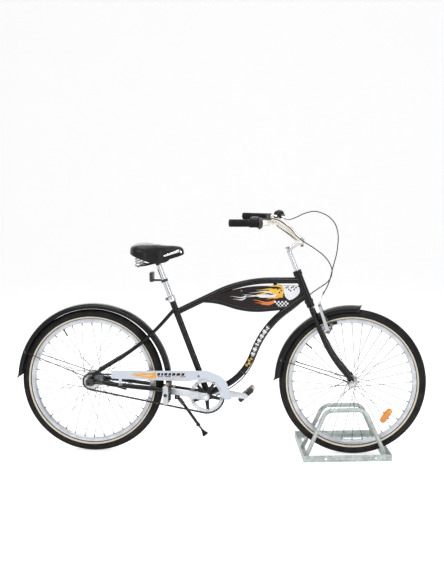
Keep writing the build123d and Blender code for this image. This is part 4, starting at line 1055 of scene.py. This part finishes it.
def saddleAt(x):
    for a, b in zip(saddleRows, saddleRows[1:]):
        if a[0] <= x <= b[0]:
            return a.lerp(b, (x - a[0]) / (b[0] - a[0]))
    return saddleRows[-1] if x > saddleRows[-1][0] else saddleRows[0]


def saddleSide(x, z):
    # The half width of the cover at a point of its side
    _, half, top, low = saddleAt(x)
    share = min(max((z - low) / (top - low), 0.0), 1.0) ** (1 / saddle["topShape"])
    return half * max(1 - share * share, 0.0) ** (saddle["sideShape"] / 2)


def makeSaddle():
    bm = bmesh.new()
    rings = []
    for x, half, top, low in saddleRows:
        outer, inner = [], []
        count = saddle["around"]
        wall = min(saddle["wall"], half * 0.4, (top - low) * 0.4)
        for i in range(count + 1):
            a = -pi / 2 + pi * i / count
            y = half * (1 if a > 0 else -1) * abs(sin(a)) ** saddle["sideShape"]
            dip = saddle["dip"] * exp(-(y / saddle["dipHalf"]) ** 2)
            first, last = saddle["dipFrom"], saddle["dipTo"]
            if not first < x < last:
                dip *= max(0.0, 1 - abs(x - (first if x < 260 else last)) / 18)
            z = low + (top - low) * abs(cos(a)) ** saddle["topShape"]
            outer.append(Vector((x, y, z - dip)))
            inner.append(Vector((x, y * (half - wall) / half,
                                 low + (z - low) * (top - low - wall - 4) / (top - low))))
        rings.append(outer + inner[::-1])
    skin(bm, rings, 0)
    for side in (-1, 1):
        hem = [Vector((x, side * (half - 1.2), low + 0.6)) for x, half, top, low in saddleRows[4:-3]]
        tube(bm, hem, saddle["hem"], 10, 0)
    seat = makePiece("saddleCover", bm, "frame", ["vinyl"], smooth=60, stands=["saddle"])
    bm = bmesh.new()
    for side in (-1, 1):
        for steps, start, run, lows, highs, cells in saddle["strips"]:
            rows = []
            for i in range(steps + 1):
                t = i / steps
                x = start + run * t
                low, high = lows[0] + (lows[1] - lows[0]) * t, highs[0] + (highs[1] - highs[0]) * t
                heights = [low + (high - low) * k / cells for k in range(cells + 1)]
                rows.append([Vector((x, side * (saddleSide(x, z) + 0.5), z)) for z in heights])
            skin(bm, rows, 0, around=False, caps=False)
    strip = makePiece("saddleStrips", bm, "frame", ["silverTrim"], smooth=60)
    thick = strip.modifiers.new("stripDepth", "SOLIDIFY")
    thick.thickness = saddle["stripDepth"] * mm
    thick.offset = 0.0


springs = {"x": 232.0, "y": 60.0, "low": 866.0, "high": 922.0, "radius": 13.0, "wire": 2.3, "turns": 5.0}


def makeSprings():
    bm = bmesh.new()
    for side in (-1, 1):
        line = []
        count = int(springs["turns"] * 20)
        for i in range(count + 1):
            a = 2 * pi * springs["turns"] * i / count
            z = springs["low"] + (springs["high"] - springs["low"]) * i / count
            line.append(Vector((springs["x"] + springs["radius"] * cos(a),
                                side * (springs["y"] + springs["radius"] * sin(a)), z)))
        tube(bm, line, springs["wire"], 9, 0)
        for z in (springs["low"] - 3, springs["high"]):
            spin(bm, (springs["x"], side * springs["y"], z), (0, 0, 1),
                 [(0, 3.0), (0, 15.0), (1.8, 15.6), (2.4, 14.6)], 28, 1)
        boltHead(bm, (springs["x"], side * springs["y"], springs["low"] - 3), (0, 0, -1), 4.4, 3.4, 1)
        rail = rounded([(springs["x"] + 2, side * 58, 862.5), (262, side * 40, 864), (300, side * 23, 872),
                        (352, side * 19, 878), (397, side * 7, 922)], [18.0, 24.0, 24.0], 4.0)
        tube(bm, rail, 3.6, 12, 1)
    clampAt = Vector((315.9, 0, 872.0))
    spin(bm, clampAt - Vector((0, 29, 0)), (0, 1, 0), [(0, 9.0), (1.2, 10.4), (56.8, 10.4), (58, 9.0)], 32, 1)
    for side in (-1, 1):
        boltHead(bm, clampAt + Vector((0, side * 29, 0)), (0, side, 0), 6.0, 5.0, 1)
    tube(bm, [(springs["x"] + 2, -58, 862.5), (springs["x"] + 2, 58, 862.5)], 3.2, 12, 1)
    makePiece("saddleSprings", bm, "frame", ["chrome", "satin"],
              stands=["saddle_frame"])


def makeSeatFittings():
    bm = bmesh.new()
    for side in (-1, 1):
        boltHead(bm, (352.8, side * 9.0, 707.0), (0, side, 0), 4.4, 3.6, 0)
    makePiece("seatClampBolt", bm, "frame", ["steel"])
    bm = bmesh.new()
    way = Vector((-165.0, 0, 450.0)).normalized()
    ring = Vector((533 - 165 * (785 - 270) / 450, 0, 785.0))
    spin(bm, ring, way, [(0, 12.9), (0, 15.0), (0.8, 15.9), (12.0, 15.9), (12.8, 15.0), (12.8, 12.9)], 36, 0)
    block(bm, (310.0, 0, 793.0), (52, 8, 9), 0)
    boltHead(bm, (329.0, -4.2, 793.0), (0, -1, 0), 3.6, 2.8, 2)
    block(bm, (285.6, 0, 808.5), (14, 47, 44), 0)
    block(bm, (277.8, 0, 808.5), (3.2, 42, 39), 1)
    makePiece("rearReflectorLens", bm, "frame", ["plastic", "red", "steel"],
              bevel=1.6, stands=["rear_reflector"])


makeSaddle()
makeSprings()
makeSeatFittings()
print("seat made")


# Fenders with rolled edges and flared tips, their stays and the brake
fenders = {"half": 31.0, "sheet": 1.4, "bead": 1.7, "boltY": 31.2, "stayTopY": 33.4,
           "widthRows": [(0, 0), (7, 0.3), (14, 1.2), (20, 2.5), (25, 4.4), (28.4, 7.4),
                         (30.2, 11.4), (30.9, 16.0)],
           "front": {"centre": (1186.0, 330.0), "radius": 348.0, "depth": 26.0, "first": 84.0, "last": 176.0,
                     "firstTip": 1.6, "lastTip": 3.2, "flare": 5.0, "stay": 162.0, "stayEnd": (1171.0, 339.0),
                     "stayY": 57.8, "stayRadius": 2.0},
           "rear": {"centre": (8.0, 328.0), "radius": 361.0, "depth": 22.0, "first": -3.5, "last": 175.0,
                    "firstTip": 0.0, "lastTip": 3.4, "flare": 8.0, "stay": 157.0, "stayEnd": (-6.0, 352.0),
                    "stayY": 67.8, "stayRadius": 2.0}}


def makeFender(name, key, body, node):
    f = fenders[key]
    half = fenders["widthRows"] + [(fenders["half"], f["depth"])]
    across = [(-y, d) for y, d in reversed(half)] + half[1:]
    steps = []
    if f["firstTip"]:
        steps += [(f["first"] - f["firstTip"] * s, s) for s in (1.0, 0.8, 0.6, 0.4, 0.2)]
    count = int((f["last"] - f["first"]) / 2.0)
    steps += [(f["first"] + (f["last"] - f["first"]) * i / count, 0.0) for i in range(count + 1)]
    steps += [(f["last"] + f["lastTip"] * s, s) for s in (0.2, 0.4, 0.6, 0.8, 1.0)]
    bm = bmesh.new()
    rings, edges = [], ([], [])
    for angle, tip in steps:
        a = radians(angle)
        out = Vector((cos(a), 0, sin(a)))
        centre = Vector((f["centre"][0], 0, f["centre"][1]))
        flare = f["flare"] * tip * tip
        wide, deep = 1 - 0.62 * tip ** 1.6, 1 - 0.88 * min(1.0, tip * 1.3) ** 0.8
        outer = [centre + out * (f["radius"] + flare - d * deep) + Vector((0, y * wide, 0))
                 for y, d in across]
        inner = [centre + out * (f["radius"] + flare - fenders["sheet"] - d * deep * 0.985)
                 + Vector((0, y * wide * (1 - fenders["sheet"] / fenders["half"]), 0)) for y, d in across]
        rings.append(outer + inner[::-1])
        edges[0].append((outer[0] + inner[0]) / 2)
        edges[1].append((outer[-1] + inner[-1]) / 2)
    skin(bm, rings, 0)
    for line in edges:
        tube(bm, line, fenders["bead"], 8, 0)
    for side in (-1, 1):
        a = radians(f["stay"])
        r = f["radius"] - f["depth"] + 8
        at = onCircle(f["centre"], r, a, side * fenders["boltY"])
        boltHead(bm, at, (0, side, 0), 4.0, 3.0, 1)
    makePiece(name, bm, body, ["gloss", "steel"], smooth=50, stands=[node])


def makeStays(name, key, body, node):
    f = fenders[key]
    bm = bmesh.new()
    a = radians(f["stay"])
    r = f["radius"] - f["depth"] + 8
    for side in (-1, 1):
        high = onCircle(f["centre"], r + 3, a, side * fenders["stayTopY"])
        end = Vector((f["stayEnd"][0], side * f["stayY"], f["stayEnd"][1]))
        tube(bm, [high, high.lerp(end, 0.5), end], f["stayRadius"], 12, 0)
        spin(bm, end - Vector((0, side * 2.5, 0)), (0, side, 0),
             [(0, 5.4), (0.4, 6.2), (4.6, 6.2), (5.0, 5.4)], 24, 0)
        boltHead(bm, end + Vector((0, side * 2.5, 0)), (0, side, 0), 4.2, 3.4, 1)
        spin(bm, high, (end - high).normalized(), [(-6, 1.4), (-5, 3.4), (6, 3.4), (8, 2.0)], 14, 0)
    makePiece(name, bm, body, ["gloss", "steel"], stands=[node])


makeFender("frontFenderShell", "front", "fork", "front_fender")
makeFender("rearFenderShell", "rear", "frame", "rear_fender")
makeStays("frontFenderStays", "front", "fork", "front_fender_stays")
makeStays("rearFenderStays", "rear", "frame", "rear_fender_stays")
print("fenders made")


brake = {"pivot": (1084.0, 562.0), "top": (1044.0, 682.0), "padRadius": 280.0, "pad": (1098.0, 596.0),
         "armLow": 38.5, "armHigh": 47.0}


def makeBrakeArm(side, node):
    bm = bmesh.new()
    px, pz = brake["pivot"]
    tx, tz = brake["top"]
    prism(bm, discPair((px, pz), (tx, tz), 8.6, 5.2), -brake["armHigh"], -brake["armLow"], 0)
    boltHead(bm, (px, -brake["armHigh"], pz), (0, -1, 0), 5.6, 4.4, 1)
    spin(bm, (px, -brake["armLow"], pz), (0, 1, 0), [(0, 8.0), (5, 8.0), (6, 6.0)], 24, 1)
    boltHead(bm, (tx, -brake["armHigh"], tz), (0, -1, 0), 4.2, 3.4, 1)
    way = atan2(brake["pad"][1] - axleZ, brake["pad"][0] - wheelbase)
    centre = onCircle((wheelbase, axleZ), brake["padRadius"], way, 0)
    rows = []
    for i in range(-6, 7):
        t = way + i * 4.4 / brake["padRadius"]
        mid = onCircle((wheelbase, axleZ), brake["padRadius"], t, 0)
        out = Vector((cos(t), 0, sin(t)))
        high = 5.4 if abs(i) < 6 else 4.0
        rows.append([mid + out * high * up + Vector((0, y, 0))
                     for y, up in ((-27.4, -1), (-27.4, 1), (-17.6, 1), (-17.6, -1))])
    skin(bm, rows, 2)
    tube(bm, [centre + Vector((0, -27, 0)), centre + Vector((0, -50, 0))], 3.4, 14, 1)
    hexNut(bm, centre + Vector((0, -48, 0)), (0, -1, 0), 6.6, 5.0, 1)
    spin(bm, centre + Vector((0, -29, 0)), (0, -1, 0), [(0, 7.6), (3, 8.2), (6, 7.0), (9, 7.6)], 22, 1)
    tube(bm, rounded([(px - 26, -45, pz - 2), (px - 8, -45, pz - 1), (px, -45, pz)], [6.0], 2.0), 4.6, 14, 1)
    tube(bm, curved([(px + 8, -43, pz - 4), (px + 10, -44, pz + 22), (px - 6, -48, pz + 62),
                     (px - 16, -48, pz + 70)], 6), 1.0, 8, 1)
    tube(bm, curved([(px + 6, -36, pz), (px + 16, -34, pz + 16), (px + 14, -32, pz + 30)], 6), 3.0, 10, 1)
    if side > 0:
        flipSide(bm)
    else:
        line = rounded([(tx, -44.0, tz + 2), (tx, 22.0, tz + 4), (tx + 14, 30.0, tz + 36)], [14.0], 2.0)
        tube(bm, line, 2.8, 14, 3)
        spin(bm, (tx + 14, 30.0, tz + 36), (0.36, 0.2, 0.91), [(-2, 3.0), (0, 4.0), (8, 4.0), (9, 3.0)], 16,
             3)
    makePiece("brakeArm" + ("Left" if side > 0 else "Right"), bm, "fork",
              ["alloy", "steel", "rubber", "chrome"], bevel=0.6, stands=[node])


makeBrakeArm(-1, "brake_arm_right")
makeBrakeArm(1, "brake_arm_left")


# Kickstand and its spring
stand = {"pivot": (388.0, 34.0, 247.0), "knee": (424.0, 44.0, 196.0), "foot": (512.0, 64.0, 62.0),
         "radius": 7.0, "rodLength": 52.0, "rodRadius": 4.5, "footLength": 27.0, "footRadius": 14.8,
         "coils": 5.5, "wire": 1.7, "coilStart": 14.0, "coilLength": 30.0, "coilRadius": 9.2, "coilSteps": 18}


def makeKickstand():
    bm = bmesh.new()
    pivot, knee, foot = (Vector(stand[k]) for k in ("pivot", "knee", "foot"))
    way = (foot - knee).normalized()
    rodStart = foot - way * stand["rodLength"]
    tube(bm, rounded([pivot, knee, rodStart], [60.0], 5.0), stand["radius"], 24, 0)
    spin(bm, rodStart - way * 15, way, [(0, 7.2), (0.8, 8.2), (14.2, 8.2), (15.2, 7.0), (16.0, 4.6)], 28, 0)
    boltHead(bm, rodStart - way * 7 + Vector((-6, 0, -5)), (-0.83, 0, -0.55), 2.6, 3.0, 1)
    spin(bm, rodStart, way, [(0, stand["rodRadius"]), (stand["rodLength"] - 8, stand["rodRadius"])], 20, 0)
    spin(bm, foot - way * stand["footLength"], way,
         [(-3, 4.9), (0, 5.6), (6, 6.6), (14, 9.4), (20, 12.4), (24, 14.2), (26, stand["footRadius"]),
          (27, 14.6), (27, 9.0), (22, 7.0)], 32, 2)
    across = Vector((0, 1, 0))
    spin(bm, pivot - across * 6.0, across, [(0, 9.6), (1.0, 11.0), (13, 11.0), (14, 9.6)], 32, 0)
    boltHead(bm, pivot + across * 8, across, 5.6, 4.4, 1)
    tube(bm, [pivot - across * 16, pivot - across * 6], 4.0, 16, 1)
    lead = (knee - pivot).normalized()
    side = lead.cross(across).normalized()
    other = lead.cross(side)
    count = int(stand["coils"] * stand["coilSteps"])
    coil = []
    for i in range(count + 1):
        a = 2 * pi * i / stand["coilSteps"]
        coil.append(pivot + lead * (stand["coilStart"] + stand["coilLength"] * i / count)
                    + (side * cos(a) + other * sin(a)) * stand["coilRadius"])
    tube(bm, coil, stand["wire"], 8, 1)
    makePiece("kickstandLeg", bm, "kickstand", ["satin", "steel", "rubber"], smooth=50,
              stands=["kickstand"])


makeKickstand()
print("brake and kickstand made")


# Wheel reflector between the spokes
spokeReflector = {"angle": -45.0, "out": 215.0,
                  "lean": 55.0}  # where it sits on the wheel, and how its length leans


def makeSpokeReflector():
    bm = bmesh.new()
    a = radians(spokeReflector["angle"])
    cx, cz = wheelbase + spokeReflector["out"] * cos(a), axleZ + spokeReflector["out"] * sin(a)

    def oval(long, wide, count=40):
        rows = []
        for i in range(count):
            t = 2 * pi * i / count
            u = (long / 2 - wide / 2) * (1 if cos(t) > 0 else -1) * min(1.0,
                                                                        abs(cos(t)) * 2.4) + wide / 2 * cos(t)
            v = wide / 2 * sin(t)
            turn = radians(spokeReflector["lean"])
            rows.append((cx + u * cos(turn) - v * sin(turn), cz + u * sin(turn) + v * cos(turn)))
        return rows

    layers = [(-12.8, 72, 26), (-13.4, 75, 29), (-15.2, 76, 30), (-16.8, 75, 29), (-17.4, 72, 26)]
    skin(bm, [[Vector((x, y, z)) for x, z in oval(long, wide)] for y, long, wide in layers], 0)
    skin(bm, [[Vector((x, y, z)) for x, z in oval(long, wide)]
              for y, long, wide in ((-17.3, 66, 20), (-17.9, 64, 18))], 1)
    block(bm, (cx, -15.0, cz), (6, 4.4, 40), 2, Matrix.Rotation(radians(-35), 3, "Y"))
    makePiece("spokeReflector", bm, "front_wheel", ["amber", "amber", "plastic"],
              smooth=40, stands=["wheel_reflector"])


makeSpokeReflector()


# Painted artwork: plain flames, checks, bars and stripes
art = {"tankY": 9.0, "guardY": -66.6, "lift": 0.02, "thick": 0.12,
       "pale": [(872, 766), (946, 765), (957, 742), (951, 728), (940, 716), (924, 706), (910, 702),
                (900, 708), (890, 720), (888, 731), (876, 741), (882, 752)],
       "licks": [  # root x and z, tip x and z, width at the root, bow, finish: 0 white, 1 yellow, 2 orange
           (884, 749, 782, 741, 22, 9, 1), (886, 741, 748, 724, 17, -7, 1), (880, 760, 812, 765, 9, -4, 1),
           (884, 729, 768, 712, 15, 6, 1), (880, 718, 804, 705, 11, -4, 1), (852, 744, 758, 748, 8, -5, 1),
           (852, 726, 694, 726, 9, 7, 0), (846, 717, 690, 716, 8, -6, 0), (716, 722, 640, 719, 5, 6, 0),
           (712, 712, 650, 706, 5, 5, 0), (830, 734, 726, 735, 6, -5, 0),
           (846, 697, 742, 703, 12, 8, 2), (838, 692, 752, 690, 11, 6, 2), (820, 690, 778, 680, 7, 3, 2)],
       "checks": [(846, 694), (862, 694), (878, 694), (854, 686), (870, 686), (886, 686), (862, 678),
                  (878, 678), (870, 670), (886, 670), (894, 694), (902, 686), (894, 678)], "checkHalf": 3.9,
       "dots": [(866, 736), (874, 746), (896, 758), (908, 750), (904, 762), (920, 758), (916, 744),
                (932, 750), (928, 762), (940, 758), (884, 726), (858, 752)], "dotHalf": 3.2,
       "screws": [(694.0, 744.0), (890.0, 672.0)],
       "guardLicks": [  # as the licks; finish: 0 yellow, 1 the guard's own white, which draws two thin tongues inside the yellow flame as painted highlights
           (306, 366, 188, 366, 25, 3, 0), (306, 374, 214, 378, 12, 5, 0), (290, 360, 200, 360, 11, -6, 0),
           (306, 358, 232, 354, 8, -4, 0), (258, 372, 192, 374, 9, 4, 0), (286, 367, 226, 368, 4, 3, 1),
           (276, 361, 240, 360, 2.4, -2, 1)],
       "guardBars": [(310, 13), (328, 9), (342, 14), (361, 12), (378, 15), (398, 17), (420, 14)],
       "guardLines": [(312, 3), (346, 2), (380, 0), (414, 3)], "barZ": (364.0, 376.0), "barLean": 3.0,
       "lineZ": (357.5, 361.0), "lineLength": 27.0}


def flatArt(bm, outline, y, side, finish):
    # A painted shape: a thin plate whose face is filled by triangles, so that it may be hollow-sided
    step = side * art["thick"]
    low = [bm.verts.new((x, y, z)) for x, z in outline]
    high = [bm.verts.new((x, y + step, z)) for x, z in outline]
    face = bm.faces.new(high)
    made = bmesh.ops.triangulate(bm, faces=[face])["faces"]
    for f in made:
        f.material_index = finish
    for i in range(len(outline)):
        k = (i + 1) % len(outline)
        bm.faces.new((low[i], low[k], high[k], high[i])).material_index = finish


def smoothOutline(points, steps=4):
    return [(p.x, p.y) for p in curved([Vector(p).to_2d() for p in points], steps, closed=True)]


def lickOutline(x0, z0, x1, z1, width, bow, steps=14):
    # A flame's tongue: as wide as its root, bowed in the middle, and running out to a point
    root, tip = Vector((x0, z0)), Vector((x1, z1))
    way = (tip - root).normalized()
    side = Vector((-way.y, way.x))
    rows = []
    for i in range(steps + 1):
        t = i / steps
        middle = root.lerp(tip, t) + side * (bow * sin(pi * t) + bow * 0.5 * sin(2 * pi * t))
        rows.append((middle, side * (width / 2 * (1 - t) ** 0.75 * (1 + 0.25 * sin(2 * pi * t)))))
    high = [(m + w) for m, w in rows[:-1]]
    low = [(m - w) for m, w in rows[:-1]]
    return [(p.x, p.y) for p in high + [rows[-1][0]] + low[::-1]]


def squareOutline(x, z, half):
    return [(x - half, z - half), (x + half, z - half), (x + half, z + half), (x - half, z + half)]


def makeTankArt():
    bm = bmesh.new()
    for side in (-1, 1):
        y = side * (art["tankY"] + art["lift"])
        step = side * art["thick"]
        flatArt(bm, smoothOutline(art["pale"]), y, side, 0)
        for i, (*lick, finish) in enumerate(art["licks"]):
            flatArt(bm, lickOutline(*lick), y + step * (0.5 + 0.05 * i), side, finish)
        for x, z in art["checks"]:
            flatArt(bm, squareOutline(x, z, art["checkHalf"]), y + step * 1.4, side, 0)
        for x, z in art["dots"]:
            flatArt(bm, squareOutline(x, z, art["dotHalf"]), y + step * 1.4, side, 3)
        for x, z in art["screws"]:
            boltHead(bm, (x, side * art["tankY"], z), (0, side, 0), 3.4, 2.0, 4)
    makePiece("tankArt", bm, "frame",
              ["whiteDecal", "flame", "flameDeep", "gloss", "steel"])


def makeGuardArt():
    bm = bmesh.new()
    y = art["guardY"] - art["lift"]
    # The thin tongues in the guard's own white are painted highlights on the yellow flame
    for i, (*lick, finish) in enumerate(art["guardLicks"]):
        flatArt(bm, lickOutline(*lick), y - 0.05 * (1 + i), -1, finish)
    for x, wide in art["guardBars"]:
        low, high = art["barZ"]
        lean = art["barLean"]
        flatArt(bm, [(x, low), (x + wide, low), (x + wide + lean, high), (x + lean, high)], y, -1, 2)
    for x, finish in art["guardLines"]:
        low, high = art["lineZ"]
        end = x + art["lineLength"]
        flatArt(bm, [(x, low), (end, low), (end + 1, high), (x + 1, high)], y, -1, finish)
    lip = rounded([(99, -66.0, 383), (545, -66.0, 386), (622, -66.0, 352), (650, -66.0, 255)], [90.0, 80.0],
                  6.0)
    tube(bm, lip, 1.5, 10, 1)
    boltHead(bm, (140.0, -66.8, 322.0), (0, -1, 0), 4.2, 3.2, 4)
    boltHead(bm, (500.0, -66.8, 362.0), (0, -1, 0), 4.2, 3.2, 4)
    makePiece("guardArt", bm, "frame",
              ["flameFlat", "guard", "gloss", "redStripe", "steel"])


def tubeArt(bm, path, radius, zHigh, zLow, low, high, finish):
    # A patch painted on a round tube between two heights and two angles, 0 facing the chain side
    pts = [p for p in path if zLow <= p.z <= zHigh]
    rows = []
    for i, p in enumerate(pts):
        way = (pts[min(i + 1, len(pts) - 1)] - pts[max(i - 1, 0)]).normalized()
        near = Vector((0, -1, 0))
        up = way.cross(near)
        rows.append([p + (near * cos(radians(t)) + up * sin(radians(t))) * radius
                     for t in [low + (high - low) * k / 8 for k in range(9)]])
    skin(bm, rows, finish, around=False, caps=False)


downTube = {"points": [(996.0, 0, 730.0), (797.0, 0, 587.0), (697.0, 0, 349.0), (533.0, 0, 270.0)],
            "bends": [428.0, 264.0], "radius": 14.42, "whiteHigh": 586.0, "whiteStep": 20.4, "whiteBars": 7,
            "whiteWide": 12.0, "goldHigh": 440.0, "goldStep": 10.5, "goldBars": 4}


def makeDownTubeArt():
    bm = bmesh.new()
    path = rounded(downTube["points"], downTube["bends"], 1.0)
    path = [p.lerp(q, t / 40) for p, q in zip(path, path[1:])
            for t in range(40 if (q - p).length > 20 else 1)]
    for side in (0, 180):
        # Each bar is a wide and a narrow block, staggered about the tube
        for k in range(downTube["whiteBars"]):
            z = downTube["whiteHigh"] - downTube["whiteStep"] * k
            tubeArt(bm, path, downTube["radius"], z, z - downTube["whiteWide"], side - 44, side + 34, 0)
            tubeArt(bm, path, downTube["radius"], z - 13.5, z - 18, side - 34, side + 8, 0)
        for k in range(downTube["goldBars"]):
            z = downTube["goldHigh"] - downTube["goldStep"] * k
            lean = 26 * (k % 2)
            tubeArt(bm, path, downTube["radius"], z, z - 9.5, side - 40 + lean, side + 12 + lean, 1)
    strip = makePiece("downTubeArt", bm, "frame", ["whiteDecal", "goldDecal"], smooth=60)
    thick = strip.modifiers.new("paintDepth", "SOLIDIFY")
    thick.thickness = 0.1 * mm


makeTankArt()
makeGuardArt()
makeDownTubeArt()
print("artwork made")


# Small fittings that lie over CAD solids: axle ends, weld beads, cable ends, screws
def makeAxleCaps():
    for name, x, body, nut, node in (("frontAxleCaps", wheelbase, "fork", 55.2, "front_axle"),
                                     ("rearAxleCaps", 0.0, "frame", 65.2, "rear_axle")):
        bm = bmesh.new()
        for side in (-1, 1):
            if side < 0 and x == 0.0:
                continue
            at = Vector((x, side * nut, axleZ))
            spin(bm, at, (0, side, 0), [(-0.2, 9.0), (-0.2, 12.0), (0.4, 12.6), (1.4, 12.6), (1.8, 11.8)], 32,
                 0)
            spin(bm, at + Vector((0, side * 8, 0)), (0, side, 0), [(-0.4, 8.9), (0.3, 7.6), (0.5, 5.6)], 6, 0)
            spin(bm, at + Vector((0, side * 8, 0)), (0, side, 0),
                 [(0, 5.0)] + [(d * 0.5, 5.15 if d % 2 else 4.75) for d in range(1, 12)] + [(6.1, 4.3)], 20,
                 0)
        makePiece(name, bm, body, ["chrome"])


def bead(bm, centre, axis, radius, thick, finish=0, sides=40):
    # A weld bead: a ring with an uneven rope of metal
    way = Vector(axis).normalized()
    unit = circle((0, 0, 0), way, 1.0, sides)
    rings = []
    for k, u in enumerate(unit):
        lump = thick * (0.86 + 0.14 * cos(k * pi))
        middle = Vector(centre) + u * radius
        rings.append([middle + (u * cos(t) + way * sin(t)) * lump
                      for t in (2 * pi * i / 8 for i in range(8))])
    skin(bm, rings, finish, loop=True)


rack = {"centre": (1160.0, 0.0), "turn": 7.0, "rear": -205.0, "front": 186.0, "near": -154.0, "far": 312.0,
        "footV": 88.0, "thick": 3.0, "hoop": 9.5}


def rackPoint(u, v, z):
    a = radians(rack["turn"])
    return Vector((rack["centre"][0] + u * cos(a) - v * sin(a), rack["centre"][1] + u * sin(a) + v * cos(a),
                   z))


def makeRackWelds():
    bm = bmesh.new()
    for v in (-rack["footV"], rack["footV"]):
        for u, lean in ((rack["rear"] + 15, 1), (rack["front"] - 15, -1)):
            bead(bm, rackPoint(u + lean * 1.6, v, rack["thick"] + 1.2), (lean * 0.2, 0, 1),
                 rack["hoop"] + 0.8, 2.0)
    for u in (rack["rear"] + 1.5, rack["front"] - 1.5):
        for v in (rack["near"] + 1.5, rack["far"] - 1.5):
            tube(bm, [rackPoint(u, v, z) for z in (1.0, 8.0, 16.0, 24.0, 29.6)], 1.9, 10)
    makePiece("rackWelds", bm, "fork", ["galvanised"], smooth=60)


def makeCableEnds():
    bm = bmesh.new()
    for a, b in (((831.4, 314.2, 1057.5), (839.0, 311.4, 1057.3)),
                 ((1062.0, 29.0, 729.0), (1066.0, 26.0, 738.0))):
        way = Vector(b) - Vector(a)
        spin(bm, a, way, [(0, 2.7), (0.2, 3.5), (7, 3.5), (8, 2.7)], 16, 0)
    makePiece("cableEnds", bm, "fork", ["steel"])
    bm = bmesh.new()
    path = rounded(downTube["points"], downTube["bends"], 4.0)
    for share in (0.26, 0.5, 0.74):
        i = int(share * len(path))
        way = (path[i + 1] - path[i - 1]).normalized()
        low = way.cross(Vector((0, 1, 0)))
        low = low if low.z < 0 else -low
        spin(bm, path[i] + low * 2.0 + Vector((0, 1.2, 0)) - way * 3, way,
             [(0, 16.3), (0.4, 16.9), (5.6, 16.9), (6, 16.3)], 40, 0)
    makePiece("cableBands", bm, "frame", ["plastic"])


makeAxleCaps()
makeRackWelds()
makeCableEnds()


# What is left of the CAD solids shows in the finish of its slot, or one of its own
dress = {"slots": {"black_paint": "gloss", "black_metal": "satin", "guard_paint": "guard", "chrome": "chrome",
                   "polished_alloy": "alloy", "steel": "steel", "chain_steel": "chain",
                   "tyre_rubber": "rubber", "grip_rubber": "rubber", "black_plastic": "plastic",
                   "cable_housing": "housing", "saddle_vinyl": "vinyl", "amber_lens": "amber",
                   "red_lens": "red", "galvanised": "galvanised"},
         "nodes": {"handlebar": "warmChrome", "front_spokes": "spokeSteel", "rear_spokes": "spokeSteel",
                   "tank_panel": "panelBrown"},
         "softEdges": {"shift_box": 0.9, "kickstand_bracket": 0.8, "tank_panel": 1.8, "rack_base": 0.7,
                       "front_axle": 0.5, "rear_axle": 0.5, "coaster_arm": 0.8, "chain_stays": 0.7,
                       "seat_clamp": 0.7, "front_hub": 0.5, "rear_hub": 0.5}}


def dressNodes():
    for node, solid in nodes.items():
        finish = materials[dress["nodes"].get(node, dress["slots"][slotOf[node]])]
        if not solid.data.materials:
            solid.data.materials.append(finish)
        for i in range(len(solid.data.materials)):
            solid.data.materials[i] = finish
        if node in dress["softEdges"]:
            weld = solid.modifiers.new("joinEdges", "WELD")
            weld.merge_threshold = 0.002 * mm
            edge = solid.modifiers.new("softEdge", "BEVEL")
            edge.width = dress["softEdges"][node] * mm
            edge.segments = 2
            edge.limit_method = "ANGLE"
            edge.angle_limit = radians(50)


dressNodes()
print("solids dressed")
